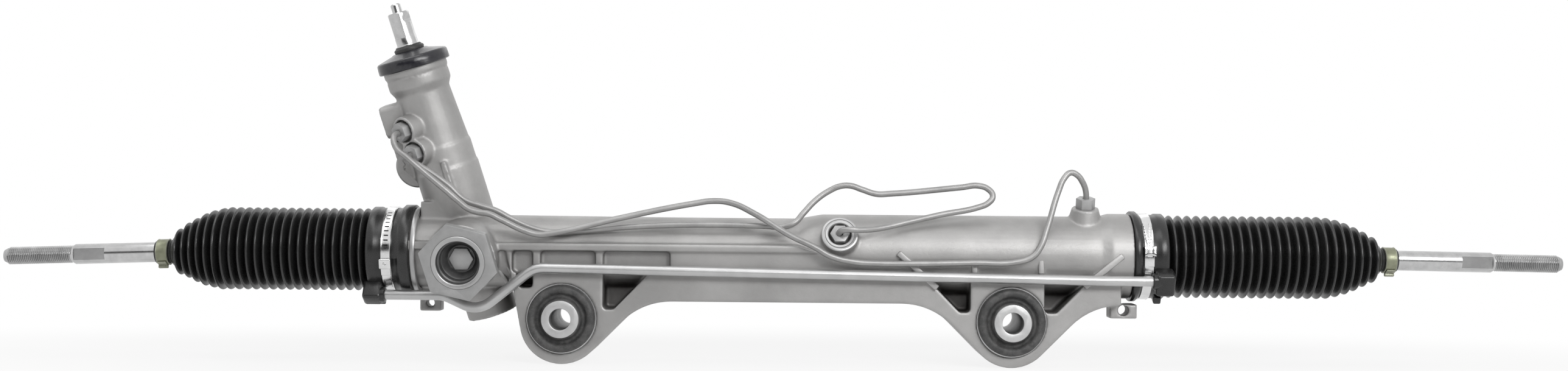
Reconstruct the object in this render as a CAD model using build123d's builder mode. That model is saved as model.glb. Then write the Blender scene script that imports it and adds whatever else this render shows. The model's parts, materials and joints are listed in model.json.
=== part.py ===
from build123d import *
from math import acos, asin, ceil, cos, degrees, pi, radians, sin, sqrt, tan
import os

os.makedirs("parts", exist_ok=True)

# Hydraulic rack-and-pinion steering gear of a pickup. Millimetres, +X to the right along the
# rack, +Y to the rear, +Z up. The origin is midway between the two mounting bushes, on the
# plane of the rear ends of their steel sleeves.

left = -1
right = 1

# Fits
running_gap = 0.05
seat_gap = 0.02
wall_gap = 0.6

# Where the rack runs
rack_y = -36.0
rack_z = 52.0
rack_radius = 14.0
travel = 70.0
rest_shift = 4.0

# Mounting bushes
bush_spacing = 355.0
sleeve_length = 77.0
sleeve_radius = 14.7
bolt_hole_radius = 8.4
rubber_radius = 25.5
shell_wall = 2.0
rubber_flange_radius = 28.0
rubber_flange = 7.0
rubber_groove = 2.2
rubber_chamfer = 3.0

# Arms, eyes and the beam between them
arm_front_y = -66.0
arm_rear_y = -12.0
eye_radius = 33.0
eye_drop = 3.0
beam_bottom_z = 14.0
arm_root_radius = 55.0
arm_left_x = -222.0
web = 6.0
rib = 6.0
arm_cover = 1.0
pocket_top_z = rack_z + 1.5
pocket_corner = 3.0
ledge_front_y = -68.5
ledge_thick = 6.0
ledge_right_x = 8.0
ledge_taper = 18.0
recess_floor_y = -60.5
left_pocket_x = -217.0
left_pocket_foot_x = -211.5
left_pocket_z = 24.0
inner_pocket_x = 92.0
inner_pocket_foot_x = 136.5
right_pocket_x = 259.0
right_pocket_foot_x = 213.0

# Housing tube and hydraulic cylinder
tube_radius = 28.0
tube_bore = 20.0
cylinder_radius = 31.5
cylinder_bore = 22.0
cone_left_x = 8.0
cone_right_x = 28.0
spigot_radius = 30.0
spigot_length = 25.0
flange_radius = 34.0
flange_width = 6.0
flange_ramp = 3.0
tube_draft = 1.0
draft_length = 100.0
end_ring_width = 17.0
end_ring_ramp = 8.0
end_rib_inset = 41.0
end_rib_length = 22.0
end_rib_z = 57.0
end_rib_thick = 6.0
end_rib_reach = 33.0
foot_pad_inset = 37.5
foot_pad_length = 30.0
foot_pad_front_y = -50.0
foot_pad_depth = 28.0
foot_pad_top_z = 91.0
left_stop_x = -298.0
right_stop_x = 284.0
left_end_depth = 32.0
right_end_depth = 15.0
socket_clearance_radius = 25.0
inner_seat_x = 12.0
inner_seat_radius = 19.0
inner_seat_lip = 5.0
lip_gap = 2.0
through_cut = 1.0
rack_bush_width = 10.0
inner_seal_width = 11.0
inner_seat_play = 1.0
outer_seal_width = 7.0
bulkhead_width = 13.0
retainer_width = 2.0
piston_width = 18.0
ring_width = 6.0
ring_depth = 4.0
bulkhead_radius = 25.0

# Pinion, valve tower and rack yoke
mesh_x = -256.0
pinion_tilt = 16.5
tower_lean = 9.0
module = 1.9
pinion_teeth = 7
pressure_angle = 25.0
profile_shift = 0.45
pinion_addendum = 0.76
rack_addendum = 0.9
tip_clearance = 0.25
backlash = 0.12
rack_flat = 9.5
flat_margin = 5.0
flank_over = 2.0
gear_half_width = 19.0
valve_bore = 17.5
tower_top = 157.0
tower_bottom = -57.0
tower_foot_radius = 20.5
tower_foot_top = -5.0
tower_mid_radius = 25.8
tower_mid_top = 68.0
tower_ring_radius = 25.0
tower_ring_top = 86.0
tower_cone_radius = 24.2
tower_step = 1.0
tower_waist_radius = 21.8
tower_waist_top = 132.0
tower_collar_radius = 25.0
tower_collar_low = 138.0
tower_groove_radius = 24.2
tower_groove_low = 145.0
tower_head_radius = 25.6
tower_head_low = 148.0
gusset_low = 25.0
gusset_waist = 57.0
gusset_shoulder = 80.0
gusset_top = 100.0
gusset_foot = 22.0
gusset_back = 14.0
gusset_thick = 19.0
tower_rib_side = 4.0
tower_rib_thick = 4.5
tower_rib_low = 46.0
tower_rib_top = 75.0
tower_rib_start = 16.0
tower_rib_reach = 28.0
seal_seat_radius = 19.0
seal_seat = 138.0
cap_radius = 28.8
cap_draft = 0.6
cap_neck_radius = 13.5
cap_wall_rise = 1.5
cap_bottom = 152.6
cap_shoulder = 161.4
cap_top = 166.0
collar_radius = 11.6
collar_height = 4.5
collar_chamfer = 1.8
input_radius = 8.5
input_grip_radius = 8.35
input_journal_radius = 9.0
input_journal_rise = 0.3
input_journal_step = 0.7
input_end = 197.5
input_tip = 204.5
input_tip_radius = 4.0
input_flat = 6.8
spool_radius = 11.0
sleeve_outer = 16.6
valve_bottom = 46.0
valve_top = 112.0
chamber_radius = 11.0
ring_count = 4
ring_start = 6.0
ring_step = 17.0
ring_height = 3.0
ring_groove = 1.4
lower_journal_radius = 6.0
lower_journal_end = -48.0
lower_bearing_low = -38.0
lower_bearing_height = 12.0
bearing_play = 0.02
lower_nut_low = -47.0
lower_nut_height = 8.0
lower_nut_across_flats = 18.0
upper_journal_radius = 10.0
upper_bearing_low = 24.0
upper_bearing_height = 9.0
upper_journal_step = 0.5
pinion_head_radius = 13.5
pinion_socket_low = 30.0
pinion_socket_radius = 8.6
end_cap_thick = 6.0
end_cap_dish = 2.5
end_cap_dish_radius = 11.0
torsion_bar_radius = 3.0
torsion_bar_low = 12.0
torsion_bar_length = 143.0
input_spigot_low = 32.0
input_spigot_radius = 8.3
torsion_end_gap = 3.0
input_flat_low = 177.0
input_flat_turn = 22.0
pinch_notch_rise = 14.0
pinch_notch_side = 9.5
pinch_notch_radius = 3.2
seal_height = 9.0
seal_retainer_bore = 14.0
seal_retainer_height = 2.0
input_bearing_rise = 6.0
input_bearing_height = 12.0
bearing_seat_radius = 14.0
end_bore_radius = 16.0
yoke_bore = 19.5
plug_radius = 21.0
boss_face = 44.0
yoke_back = 31.0
yoke_boss_radius = 28.5
yoke_front = 3.0
yoke_play = 0.5
spring_wire = 1.3
spring_radius = 6.5
spring_turns = 3
spring_pocket = 20.0
spring_pocket_radius = 9.0
plug_spring_seat = 34.0
plug_spring_radius = 8.5
plug_recess = 43.0
plug_recess_radius = 16.5
plug_hex_floor = 37.5
plug_hex_across_flats = 18.0
plug_stand_out = 0.6
hex_across_flats = 55.0
hex_thick = 8.0
hex_turn = 46.4

# Ball joints and tie rods
ball_radius = 13.0
ball_reach = 30.0
socket_radius = 19.0
socket_mouth = 16.0
seat_wall = 2.5
stud_radius = 9.0
stud_length = 11.0
rod_radius = 8.0
rod_neck_radius = 6.5
rod_length = 235.0
thread_radius = 7.0
thread_length = 55.0
flats_length = 27.0
flats_across = 13.0
left_droop = 1.9
right_droop = 0.8
rod_swing = 14.0
mouth_clearance = 2.0

# Boots and clamps
cuff_radius = 33.5
lip_radius = 36.2
lip_overhang = 1.5
lip_ramp = 2.5
cuff_ramp = 2.0
cuff_inner_ramp = 3.0
boot_radius = 33.0
boot_small_radius = 18.5
fold_depth = 3.3
fold_count = 23
ogive_folds = 6
boot_wall = 1.2
cuff_past_end = 4.0
clamp_inset = 14.0
clamp_width = 8.0
clamp_thick = 1.1
left_neck_reach = 97.0
right_neck_reach = 86.0
neck_length = 16.0
neck_radius = 9.4
neck_overlap = 2.5
neck_ramp = 2.0
neck_clamp_width = 8.0
neck_clamp_inset = 2.0
neck_clamp_thick = 0.9
neck_ear_rise = 3.4
neck_ear_half = 1.6
neck_ear_inset = 1.0
spigot_inset = 9.5
nipple_length = 15.0
nipple_radius = 6.5
nipple_end_wall = 4.0
tube_in_nipple = 10.0

# Pipes
line_radius = 2.4
line_wall = 0.8
line_bend = 14.0
upper_run = 23.0
lower_run = 15.0
left_run = 14.0
right_run = 30.0
nut_bite = 2.0
long_bends = [
    (-243.0, -78.0, 84.0),
    (-195.0, -73.0, 66.0),
    (-60.0, -58.0, 95.5),
    (-20.0, -71.0, 79.0),
    (42.0, -74.0, 46.5),
    (187.0, -72.0, 47.5),
    (219.0, -55.0, 121.5),
]
short_bends = [
    (-240.0, -69.0, 91.0),
    (-190.0, -62.5, 69.5),
    (-1.0, -62.5, 72.5),
    (36.0, -50.0, 109.0),
    (70.0, -50.0, 98.5),
    (166.5, -50.0, 110.0),
    (164.5, -56.0, 93.0),
    (99.0, -62.0, 80.5),
    (64.0, -74.0, 72.5),
]
breather_radius = 4.0
breather_wall = 1.0
breather_bend = 22.0
left_breather_y = -58.0
left_breather_z = 17.1
right_breather_y = -73.5
right_breather_z = 33.8
breather_dip = (-243.0, -67.0, 5.0)
breather_dip_x = -272.0
breather_rise_x = -198.0
breather_rise_z = 40.2
nut_across_flats = 13.5
nut_recess_radius = 9.0
nut_height = 8.0
tower_nut_height = 10.0
port_hole_radius = 3.0

# Derived positions
front_dir = Vector(0, -cos(radians(tower_lean)), -sin(radians(tower_lean)))
back_dir = front_dir * -1
tower_dir = Vector(
    -sin(radians(pinion_tilt)),
    -cos(radians(pinion_tilt)) * sin(radians(tower_lean)),
    cos(radians(pinion_tilt)) * cos(radians(tower_lean)),
)
side_dir = tower_dir.cross(front_dir)
pitch_radius = module * pinion_teeth / 2
mesh_offset = rack_flat + pitch_radius + (profile_shift - rack_addendum) * module
rack_centre = Vector(0, rack_y, rack_z)
mesh_centre = Vector(mesh_x, rack_y, rack_z)
pinion_centre = mesh_centre + back_dir * mesh_offset
rack_axis = Axis(tuple(rack_centre), (1, 0, 0))
tower_axis = Axis(tuple(pinion_centre), tuple(tower_dir))
tower_face = Plane(pinion_centre, x_dir=side_dir, z_dir=front_dir)
left_end_x = left_stop_x - left_end_depth
right_end_x = right_stop_x + right_end_depth
end_rib_x = left_end_x + end_rib_inset
bulkhead_x = right_stop_x - retainer_width - bulkhead_width
chamber_left_x = inner_seat_x + rack_bush_width + inner_seal_width + inner_seat_play
chamber_right_x = bulkhead_x - outer_seal_width
rack_left_x = left_stop_x - travel + rest_shift
rack_right_x = right_stop_x + travel + rest_shift
ball_left_x = rack_left_x - ball_reach
ball_right_x = rack_right_x + ball_reach
eye_x = bush_spacing / 2
eye_z = -eye_drop
arm_depth = arm_rear_y - arm_front_y
arm_top_z = pocket_top_z + arm_cover
toothed_half = travel + rest_shift + gear_half_width
torsion_bar_top = torsion_bar_low + torsion_bar_length
input_journal_top = cap_top + collar_height + input_journal_rise


def end_x(side):
    return left_end_x if side == left else right_end_x


def lip_start(side):
    # Distance from the origin of the open edge of a boot
    return abs(end_x(side)) - spigot_length - flange_width - 1


def ball_x(side):
    return ball_left_x if side == left else ball_right_x


def droop(side):
    return left_droop if side == left else right_droop


def neck_reach(side):
    return left_neck_reach if side == left else right_neck_reach


def across(x):
    # Plane square to the rack at x, facing +X, its local y pointing up
    return Plane((x, rack_y, rack_z), x_dir=(0, 1, 0), z_dir=(1, 0, 0))


def along(side):
    # Plane through the rack axis, local x outward to one side, local y up
    return Plane(rack_centre, x_dir=(side, 0, 0), z_dir=(0, -side, 0))


def rod_plane(side):
    # Plane through a tie rod, local x outward from the ball centre, local y up
    outward = (side * cos(radians(droop(side))), 0, -sin(radians(droop(side))))
    return Plane((ball_x(side), rack_y, rack_z), x_dir=outward, z_dir=(0, -side, 0))


def rod_axis(side):
    plane = rod_plane(side)
    return Axis(tuple(plane.origin), tuple(plane.x_dir))


def tower_at(height):
    # Plane square to the pinion axis, local x to the right, local y to the rear
    return Plane(pinion_centre + tower_dir * height, x_dir=side_dir, z_dir=tower_dir)


def yoke_at(distance):
    # Plane square to the yoke axis, in front of the rack axis by a distance
    return Plane(mesh_centre + front_dir * distance, x_dir=(1, 0, 0), z_dir=front_dir)


def port_dir(turn):
    # Direction square to the pinion axis, turned to the left of the front
    return front_dir * cos(radians(turn)) - side_dir * sin(radians(turn))


def tower_port(height, turn, distance):
    facing = port_dir(turn)
    origin = pinion_centre + tower_dir * height + facing * distance
    return Plane(origin, x_dir=tower_dir, z_dir=facing)


def cylinder_port(x, rise, distance):
    # Port square to the rack, raised above the front by an angle
    facing = Vector(0, -cos(radians(rise)), sin(radians(rise)))
    return Plane(Vector(x, rack_y, rack_z) + facing * distance, x_dir=(1, 0, 0), z_dir=facing)


def eye_plane(side, y):
    # Plane square to a bush axis, facing the front
    return Plane((side * eye_x, y, 0), x_dir=(1, 0, 0), z_dir=(0, -1, 0))


def on_circle(radius, angle):
    return (radius * cos(angle), radius * sin(angle))


def bends(points, radius):
    # Bend radius at each inner point of a pipe, less where two bends are close
    limited = []
    for before, corner, after in zip(points, points[1:], points[2:]):
        arriving = Vector(*corner) - Vector(*before)
        leaving = Vector(*after) - Vector(*corner)
        half_turn = radians(arriving.get_angle(leaving)) / 2
        room = 0.48 * min(arriving.length, leaving.length)
        limited.append(min(radius, room / tan(half_turn)))
    return limited


def save(part, name):
    part.label = name
    export_step(part, f"parts/{name}.step")


# Housing ports: height on the tower and turn to the left, or x and rise on the cylinder
upper_port_height = 107.0
upper_port_turn = 35.0
lower_port_height = 88.0
lower_port_turn = 28.0
upper_port = (upper_port_height, upper_port_turn)
lower_port = (lower_port_height, lower_port_turn)
tower_port_face = 33.0
tower_port_floor = 28.0
tower_port_radius = 11.5
left_port_inset = 7.4
left_port_rise = 25.0
left_port = (chamber_left_x + left_port_inset, left_port_rise)
left_port_face = 39.0
left_port_floor = 33.0
left_port_radius = 14.5
right_port_inset = 24.0
right_port_rise = 75.0
right_port = (chamber_right_x - right_port_inset, right_port_rise)
right_port_face = 40.0
right_port_foot_radius = 14.0
right_port_radius = 10.5
right_port_root = 4.0
pressure_height = 116.0
pressure_face = 36.0
pressure_radius = 7.2
pressure_block_height = 26.0
pressure_block_width = 27.0
pressure_block_corner = 5.0
return_height = 80.0
return_side = -20.0
return_radius = 8.2
return_face = 30.0
return_hole_radius = 4.0
return_boss_radius = 16.5
return_boss_inset = 5.0
hose_depth = 14.0
left_lug_inset = 43.3
left_lug_x = left_end_x + left_lug_inset
left_lug_radius = 3.3
left_lug_half = 8.5
left_lug_depth = 14.0
right_lug_inset = 31.0
right_lug_x = right_end_x - right_lug_inset
right_lug_radius = 4.2
right_lug_half = 10.8
right_lug_depth = 18.0
lug_z = 9.6
lug_low_z = 3.0
lug_lip_gap = 1.3

# Arm outline: each side of an eye runs off at 45 degrees and curves into the beam
slope = sqrt(0.5)
eye_side = eye_radius * slope
curve_low_z = beam_bottom_z - arm_root_radius * (1 - slope)
slope_run = curve_low_z - (eye_z - eye_side)
curve_run = arm_root_radius * slope
tangent_run = eye_side + slope_run
corner_reach = sqrt((arm_left_x + eye_x) ** 2 + (arm_top_z - eye_z) ** 2)
corner_angle = pi - acos((-eye_x - arm_left_x) / corner_reach) + acos(eye_radius / corner_reach)
left_touch = Vector(*on_circle(eye_radius, corner_angle)) + Vector(-eye_x, eye_z)
arm_right_x = eye_x + tangent_run + curve_run


def pocket_corners(top_start, top_end, low_start, low_end, low_z):
    return [(top_start, pocket_top_z), (top_end, pocket_top_z), (low_end, low_z), (low_start, low_z)]


# Pockets between the ribs, as corners in x and z
half_rib = rib / 2
left_rib_x = -eye_x - 20.0
mid_rib_x = -eye_x + 29.5
right_rib_x = eye_x - 29.5
far_rib_x = eye_x + 23.0
eye_top_z = 36.0
deep_z = 7.5
pockets = [
    pocket_corners(
        left_pocket_x, left_rib_x - half_rib, left_pocket_foot_x, left_rib_x - half_rib, left_pocket_z
    ),
    pocket_corners(
        left_rib_x + half_rib, mid_rib_x - half_rib, left_rib_x + half_rib, mid_rib_x - half_rib, eye_top_z
    ),
    pocket_corners(
        mid_rib_x + half_rib, -inner_pocket_x, mid_rib_x + half_rib, -inner_pocket_foot_x, deep_z
    ),
    pocket_corners(
        inner_pocket_x, right_rib_x - half_rib, inner_pocket_foot_x, right_rib_x - half_rib, deep_z
    ),
    pocket_corners(
        right_rib_x + half_rib, far_rib_x - half_rib, right_rib_x + half_rib, far_rib_x - half_rib, eye_top_z
    ),
    pocket_corners(
        far_rib_x + half_rib, right_pocket_x, far_rib_x + half_rib, right_pocket_foot_x, deep_z
    ),
]
recesses = [
    (left_pocket_x, left_rib_x - half_rib),
    (left_rib_x + half_rib, mid_rib_x - half_rib),
    (mid_rib_x + half_rib, -inner_pocket_x),
]

with BuildPart() as rack_housing:
    with BuildSketch(Plane.XZ.offset(-arm_rear_y)):
        with BuildLine():
            Line((arm_left_x, arm_top_z), left_touch)
            ThreePointArc(left_touch, (-eye_x, eye_z - eye_radius), (-eye_x + eye_side, eye_z - eye_side))
            Line((-eye_x + eye_side, eye_z - eye_side), (-eye_x + tangent_run, curve_low_z))
            TangentArc(
                (-eye_x + tangent_run, curve_low_z),
                (-eye_x + tangent_run + curve_run, beam_bottom_z),
                tangent=(1, 1),
            )
            Line(
                (-eye_x + tangent_run + curve_run, beam_bottom_z),
                (eye_x - tangent_run - curve_run, beam_bottom_z),
            )
            TangentArc(
                (eye_x - tangent_run - curve_run, beam_bottom_z),
                (eye_x - tangent_run, curve_low_z),
                tangent=(1, 0),
            )
            Line((eye_x - tangent_run, curve_low_z), (eye_x - eye_side, eye_z - eye_side))
            ThreePointArc(
                (eye_x - eye_side, eye_z - eye_side),
                (eye_x, eye_z - eye_radius),
                (eye_x + eye_side, eye_z - eye_side),
            )
            Line((eye_x + eye_side, eye_z - eye_side), (eye_x + tangent_run, curve_low_z))
            TangentArc(
                (eye_x + tangent_run, curve_low_z),
                (arm_right_x, beam_bottom_z),
                tangent=(1, 1),
            )
            Polyline((arm_right_x, beam_bottom_z), (arm_right_x, arm_top_z), (arm_left_x, arm_top_z))
        make_face()
    extrude(amount=arm_depth)
    # Pockets from the front and from the rear, with a web left between them
    pocket_depth = (arm_depth - web) / 2
    for corners in pockets:
        with BuildSketch(Plane.XZ.offset(-arm_front_y)):
            pocket = Polygon(*corners, align=None)
            fillet(pocket.vertices(), pocket_corner)
        extrude(amount=-pocket_depth, mode=Mode.SUBTRACT)
        with BuildSketch(Plane.XZ.offset(-arm_rear_y)):
            pocket = Polygon(*corners, align=None)
            fillet(pocket.vertices(), pocket_corner)
        extrude(amount=pocket_depth, mode=Mode.SUBTRACT)
    # Tube, cylinder and the spigots for the boots
    with BuildSketch(along(right)):
        with BuildLine():
            Polyline(
                (left_end_x, 0),
                (left_end_x, spigot_radius),
                (left_end_x + spigot_length, spigot_radius),
                (left_end_x + spigot_length, flange_radius),
                (left_end_x + spigot_length + flange_width, flange_radius),
                (left_end_x + spigot_length + flange_width + flange_ramp, tube_radius + tube_draft),
                (cone_left_x - draft_length, tube_radius),
                (cone_left_x, tube_radius),
                (cone_right_x, cylinder_radius),
                (right_end_x - spigot_length - end_ring_width - end_ring_ramp, cylinder_radius),
                (right_end_x - spigot_length - end_ring_width, flange_radius),
                (right_end_x - spigot_length, flange_radius),
                (right_end_x - spigot_length, spigot_radius),
                (right_end_x, spigot_radius),
                (right_end_x, 0),
                close=True,
            )
        make_face()
    revolve(axis=rack_axis)
    # Valve tower above and pinion bearing below
    with BuildSketch(tower_face):
        with BuildLine():
            Polyline(
                (0, tower_bottom),
                (tower_foot_radius, tower_bottom),
                (tower_foot_radius, tower_foot_top),
                (tower_mid_radius, 0),
                (tower_mid_radius, tower_mid_top),
                (tower_ring_radius, tower_mid_top + tower_step),
                (tower_ring_radius, tower_ring_top),
                (tower_cone_radius, tower_ring_top + tower_step),
                (tower_waist_radius, tower_waist_top),
                (tower_collar_radius, tower_collar_low),
                (tower_collar_radius, tower_groove_low),
                (tower_groove_radius, tower_groove_low + tower_step),
                (tower_groove_radius, tower_head_low - tower_step),
                (tower_head_radius, tower_head_low),
                (tower_head_radius, tower_top),
                (0, tower_top),
                close=True,
            )
        make_face()
    revolve(axis=tower_axis)
    # Port block and gusset on the left of the tower
    gusset_side = pressure_face - seat_gap
    with BuildSketch(tower_face.offset(-gusset_back)):
        with BuildLine():
            Polyline(
                (0, gusset_low),
                (-gusset_foot, gusset_low),
                (-gusset_foot, gusset_waist),
                (-gusset_side, gusset_shoulder),
                (-gusset_side, gusset_top),
                (0, gusset_top),
                close=True,
            )
        make_face()
    extrude(amount=gusset_thick)
    with BuildSketch(tower_face.offset(tower_rib_start)):
        with BuildLine():
            Polyline(
                (tower_rib_side - tower_rib_thick / 2, tower_rib_low),
                (tower_rib_side + tower_rib_thick / 2, tower_rib_low),
                (tower_rib_side + tower_rib_thick / 2, tower_rib_top),
                (tower_rib_side - tower_rib_thick / 2, tower_rib_top),
                close=True,
            )
        make_face()
    extrude(amount=tower_rib_reach - tower_rib_start)
    pressure_origin = pinion_centre + tower_dir * pressure_height
    pressure_plane = Plane(pressure_origin, x_dir=tower_dir, z_dir=side_dir * -1)
    with BuildSketch(pressure_plane):
        RectangleRounded(pressure_block_height, pressure_block_width, pressure_block_corner)
    extrude(amount=pressure_face)
    return_origin = pinion_centre + tower_dir * return_height + side_dir * return_side
    return_plane = Plane(return_origin, x_dir=side_dir, z_dir=back_dir)
    with BuildSketch(return_plane.offset(-return_boss_inset)):
        Circle(return_boss_radius)
    extrude(amount=return_face + return_boss_inset)
    for height, turn in (upper_port, lower_port):
        with BuildSketch(tower_port(height, turn, 0)):
            Circle(tower_port_radius)
        extrude(amount=tower_port_face)
    # Yoke boss, cylinder port bosses and the bracket lugs
    with BuildSketch(yoke_at(0)):
        Circle(yoke_boss_radius)
    extrude(amount=boss_face)
    with BuildSketch(cylinder_port(*left_port, 0)):
        Circle(left_port_radius)
    extrude(amount=left_port_face)
    with BuildSketch(cylinder_port(*right_port, cylinder_radius - right_port_root)):
        Circle(right_port_foot_radius)
    with BuildSketch(cylinder_port(*right_port, right_port_face)):
        Circle(right_port_radius)
    loft()
    with BuildSketch(Plane.XZ.offset(-rack_y - left_lug_depth)):
        with BuildLine():
            Polyline(
                (left_lug_x - left_lug_half, lug_low_z),
                (left_lug_x + left_lug_half, lug_low_z),
                (left_lug_x + left_lug_half, rack_z - tube_bore),
                (left_lug_x - left_lug_half, rack_z - tube_bore),
                close=True,
            )
        make_face()
    extrude(amount=left_lug_depth)
    lug_notch_z = rack_z - lip_radius - lug_lip_gap
    with BuildSketch(Plane.XZ.offset(-rack_y)):
        with BuildLine():
            Polyline(
                (right_lug_x - right_lug_half, lug_low_z),
                (right_lug_x + right_lug_half, lug_low_z),
                (right_lug_x + right_lug_half, lug_notch_z),
                (lip_start(right) - lug_lip_gap, lug_notch_z),
                (lip_start(right) - lug_lip_gap, rack_z - cylinder_bore),
                (right_lug_x - right_lug_half, rack_z - cylinder_bore),
                close=True,
            )
        make_face()
    extrude(amount=right_lug_depth)
    # Rib on the front of the left end
    with BuildSketch(Plane((end_rib_x, rack_y - tube_bore, end_rib_z), x_dir=(1, 0, 0), z_dir=(0, -1, 0))):
        Rectangle(end_rib_length, end_rib_thick)
    extrude(amount=end_rib_reach - tube_bore)
    # Pad at the foot of the tower
    with BuildSketch(Plane.XZ.offset(-foot_pad_front_y)):
        with BuildLine():
            Polyline(
                (left_end_x + foot_pad_inset, rack_z),
                (left_end_x + foot_pad_inset, foot_pad_top_z),
                (left_end_x + foot_pad_inset + foot_pad_length, foot_pad_top_z),
                (left_end_x + foot_pad_inset + foot_pad_length, rack_z),
                close=True,
            )
        make_face()
    extrude(amount=-foot_pad_depth)
    # Ledge along the front of the tube, with shallow recesses under it between the ribs
    with BuildSketch(Plane.XZ.offset(-rack_y)):
        with BuildLine():
            Polyline(
                (mesh_x, pocket_top_z),
                (ledge_right_x + ledge_taper, pocket_top_z),
                (ledge_right_x, pocket_top_z + ledge_thick),
                (mesh_x, pocket_top_z + ledge_thick),
                close=True,
            )
        make_face()
    extrude(amount=rack_y - ledge_front_y)
    for start, stop in recesses:
        with BuildSketch(Plane.XZ.offset(-ledge_front_y)):
            corners = [(start, pocket_top_z), (stop, pocket_top_z), (stop, eye_top_z), (start, eye_top_z)]
            recess = Polygon(*corners, align=None)
            fillet(recess.vertices(), pocket_corner)
        extrude(amount=ledge_front_y - recess_floor_y, mode=Mode.SUBTRACT)
    # Bores along the rack
    with BuildSketch(along(right)):
        with BuildLine():
            Polyline(
                (left_end_x - through_cut, 0),
                (left_end_x - through_cut, socket_clearance_radius),
                (left_stop_x, socket_clearance_radius),
                (left_stop_x, tube_bore),
                (inner_seat_x - inner_seat_lip, tube_bore),
                (inner_seat_x - inner_seat_lip, rack_radius + lip_gap),
                (inner_seat_x, rack_radius + lip_gap),
                (inner_seat_x, inner_seat_radius),
                (chamber_left_x, inner_seat_radius),
                (chamber_left_x, cylinder_bore),
                (chamber_right_x, cylinder_bore),
                (chamber_right_x, bulkhead_radius),
                (right_end_x + through_cut, bulkhead_radius),
                (right_end_x + through_cut, 0),
                close=True,
            )
        make_face()
    revolve(axis=rack_axis, mode=Mode.SUBTRACT)
    # Bores along the tower
    with BuildSketch(tower_face):
        with BuildLine():
            Polyline(
                (0, tower_bottom - through_cut),
                (end_bore_radius, tower_bottom - through_cut),
                (end_bore_radius, lower_bearing_low - bearing_play),
                (bearing_seat_radius, lower_bearing_low - bearing_play),
                (bearing_seat_radius, lower_bearing_low + lower_bearing_height),
                (chamber_radius, lower_bearing_low + lower_bearing_height),
                (chamber_radius, upper_bearing_low - bearing_play),
                (valve_bore, upper_bearing_low - bearing_play),
                (valve_bore, seal_seat),
                (seal_seat_radius, seal_seat),
                (seal_seat_radius, tower_top + through_cut),
                (0, tower_top + through_cut),
                close=True,
            )
        make_face()
    revolve(axis=tower_axis, mode=Mode.SUBTRACT)
    # Yoke bore with the wider thread of the plug
    with BuildSketch(yoke_at(0)):
        Circle(yoke_bore)
    extrude(amount=boss_face + through_cut, mode=Mode.SUBTRACT)
    with BuildSketch(yoke_at(yoke_back)):
        Circle(plug_radius + seat_gap)
    extrude(amount=boss_face, mode=Mode.SUBTRACT)
    # Recesses and drillings of the line ports
    for height, turn in (upper_port, lower_port):
        with BuildSketch(tower_port(height, turn, tower_port_floor)):
            Circle(nut_recess_radius)
        extrude(amount=tower_port_face, mode=Mode.SUBTRACT)
        with BuildSketch(tower_port(height, turn, sleeve_outer)):
            Circle(port_hole_radius)
        extrude(amount=tower_port_face, mode=Mode.SUBTRACT)
    with BuildSketch(cylinder_port(*left_port, left_port_floor)):
        Circle(nut_recess_radius)
    extrude(amount=left_port_face, mode=Mode.SUBTRACT)
    for spot in (left_port, right_port):
        with BuildSketch(cylinder_port(*spot, rack_radius + lip_gap)):
            Circle(port_hole_radius)
        extrude(amount=right_port_face, mode=Mode.SUBTRACT)
    # Hose ports: pressure on the left, return at the rear
    with BuildSketch(pressure_plane.offset(pressure_face)):
        Circle(pressure_radius)
    extrude(amount=-hose_depth, mode=Mode.SUBTRACT)
    with BuildSketch(pressure_plane):
        Circle(port_hole_radius)
    extrude(amount=pressure_face, mode=Mode.SUBTRACT)
    with BuildSketch(return_plane.offset(return_face)):
        Circle(return_radius)
    extrude(amount=-hose_depth, mode=Mode.SUBTRACT)
    with BuildSketch(return_plane):
        Circle(return_hole_radius)
    extrude(amount=return_face, mode=Mode.SUBTRACT)
    # Bush seats and lug holes
    for side in (left, right):
        with BuildSketch(eye_plane(side, arm_rear_y + through_cut)):
            Circle(rubber_radius + shell_wall + seat_gap)
        extrude(amount=arm_depth + 2 * through_cut, mode=Mode.SUBTRACT)
    for x, radius in ((left_lug_x, left_lug_radius), (right_lug_x, right_lug_radius)):
        with BuildSketch(Plane((x, arm_rear_y, lug_z), x_dir=(1, 0, 0), z_dir=(0, -1, 0))):
            Circle(radius)
        extrude(amount=arm_depth, mode=Mode.SUBTRACT)
save(rack_housing.part, "rack_housing")

# Bushes: steel shell, rubber with a front flange, and the inner sleeve
for side, label in ((left, "left"), (right, "right")):
    with BuildPart() as bush_shell:
        with BuildSketch(eye_plane(side, arm_rear_y)):
            Circle(rubber_radius + shell_wall)
            Circle(rubber_radius, mode=Mode.SUBTRACT)
        extrude(amount=arm_depth)
    save(bush_shell.part, f"{label}_bush_shell")

    with BuildPart() as bush_rubber:
        with BuildSketch(Plane((side * eye_x, 0, 0))):
            with BuildLine():
                Polyline(
                    (sleeve_radius, arm_rear_y),
                    (rubber_radius, arm_rear_y),
                    (rubber_radius, arm_front_y),
                    (rubber_flange_radius, arm_front_y),
                    (rubber_flange_radius, arm_front_y - rubber_flange + rubber_chamfer),
                    (rubber_flange_radius - rubber_chamfer, arm_front_y - rubber_flange),
                    (sleeve_radius + 3 * rubber_groove, arm_front_y - rubber_flange),
                    (sleeve_radius + 2 * rubber_groove, arm_front_y - rubber_flange + rubber_groove),
                    (sleeve_radius + rubber_groove, arm_front_y - rubber_flange),
                    (sleeve_radius, arm_front_y - rubber_flange),
                    close=True,
                )
            make_face()
        revolve(axis=Axis((side * eye_x, 0, 0), (0, 1, 0)))
    save(bush_rubber.part, f"{label}_bush_rubber")

    with BuildPart() as bush_sleeve:
        with BuildSketch(eye_plane(side, 0)):
            Circle(sleeve_radius)
            Circle(bolt_hole_radius, mode=Mode.SUBTRACT)
        extrude(amount=sleeve_length)
    save(bush_sleeve.part, f"{label}_bush_sleeve")

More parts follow.
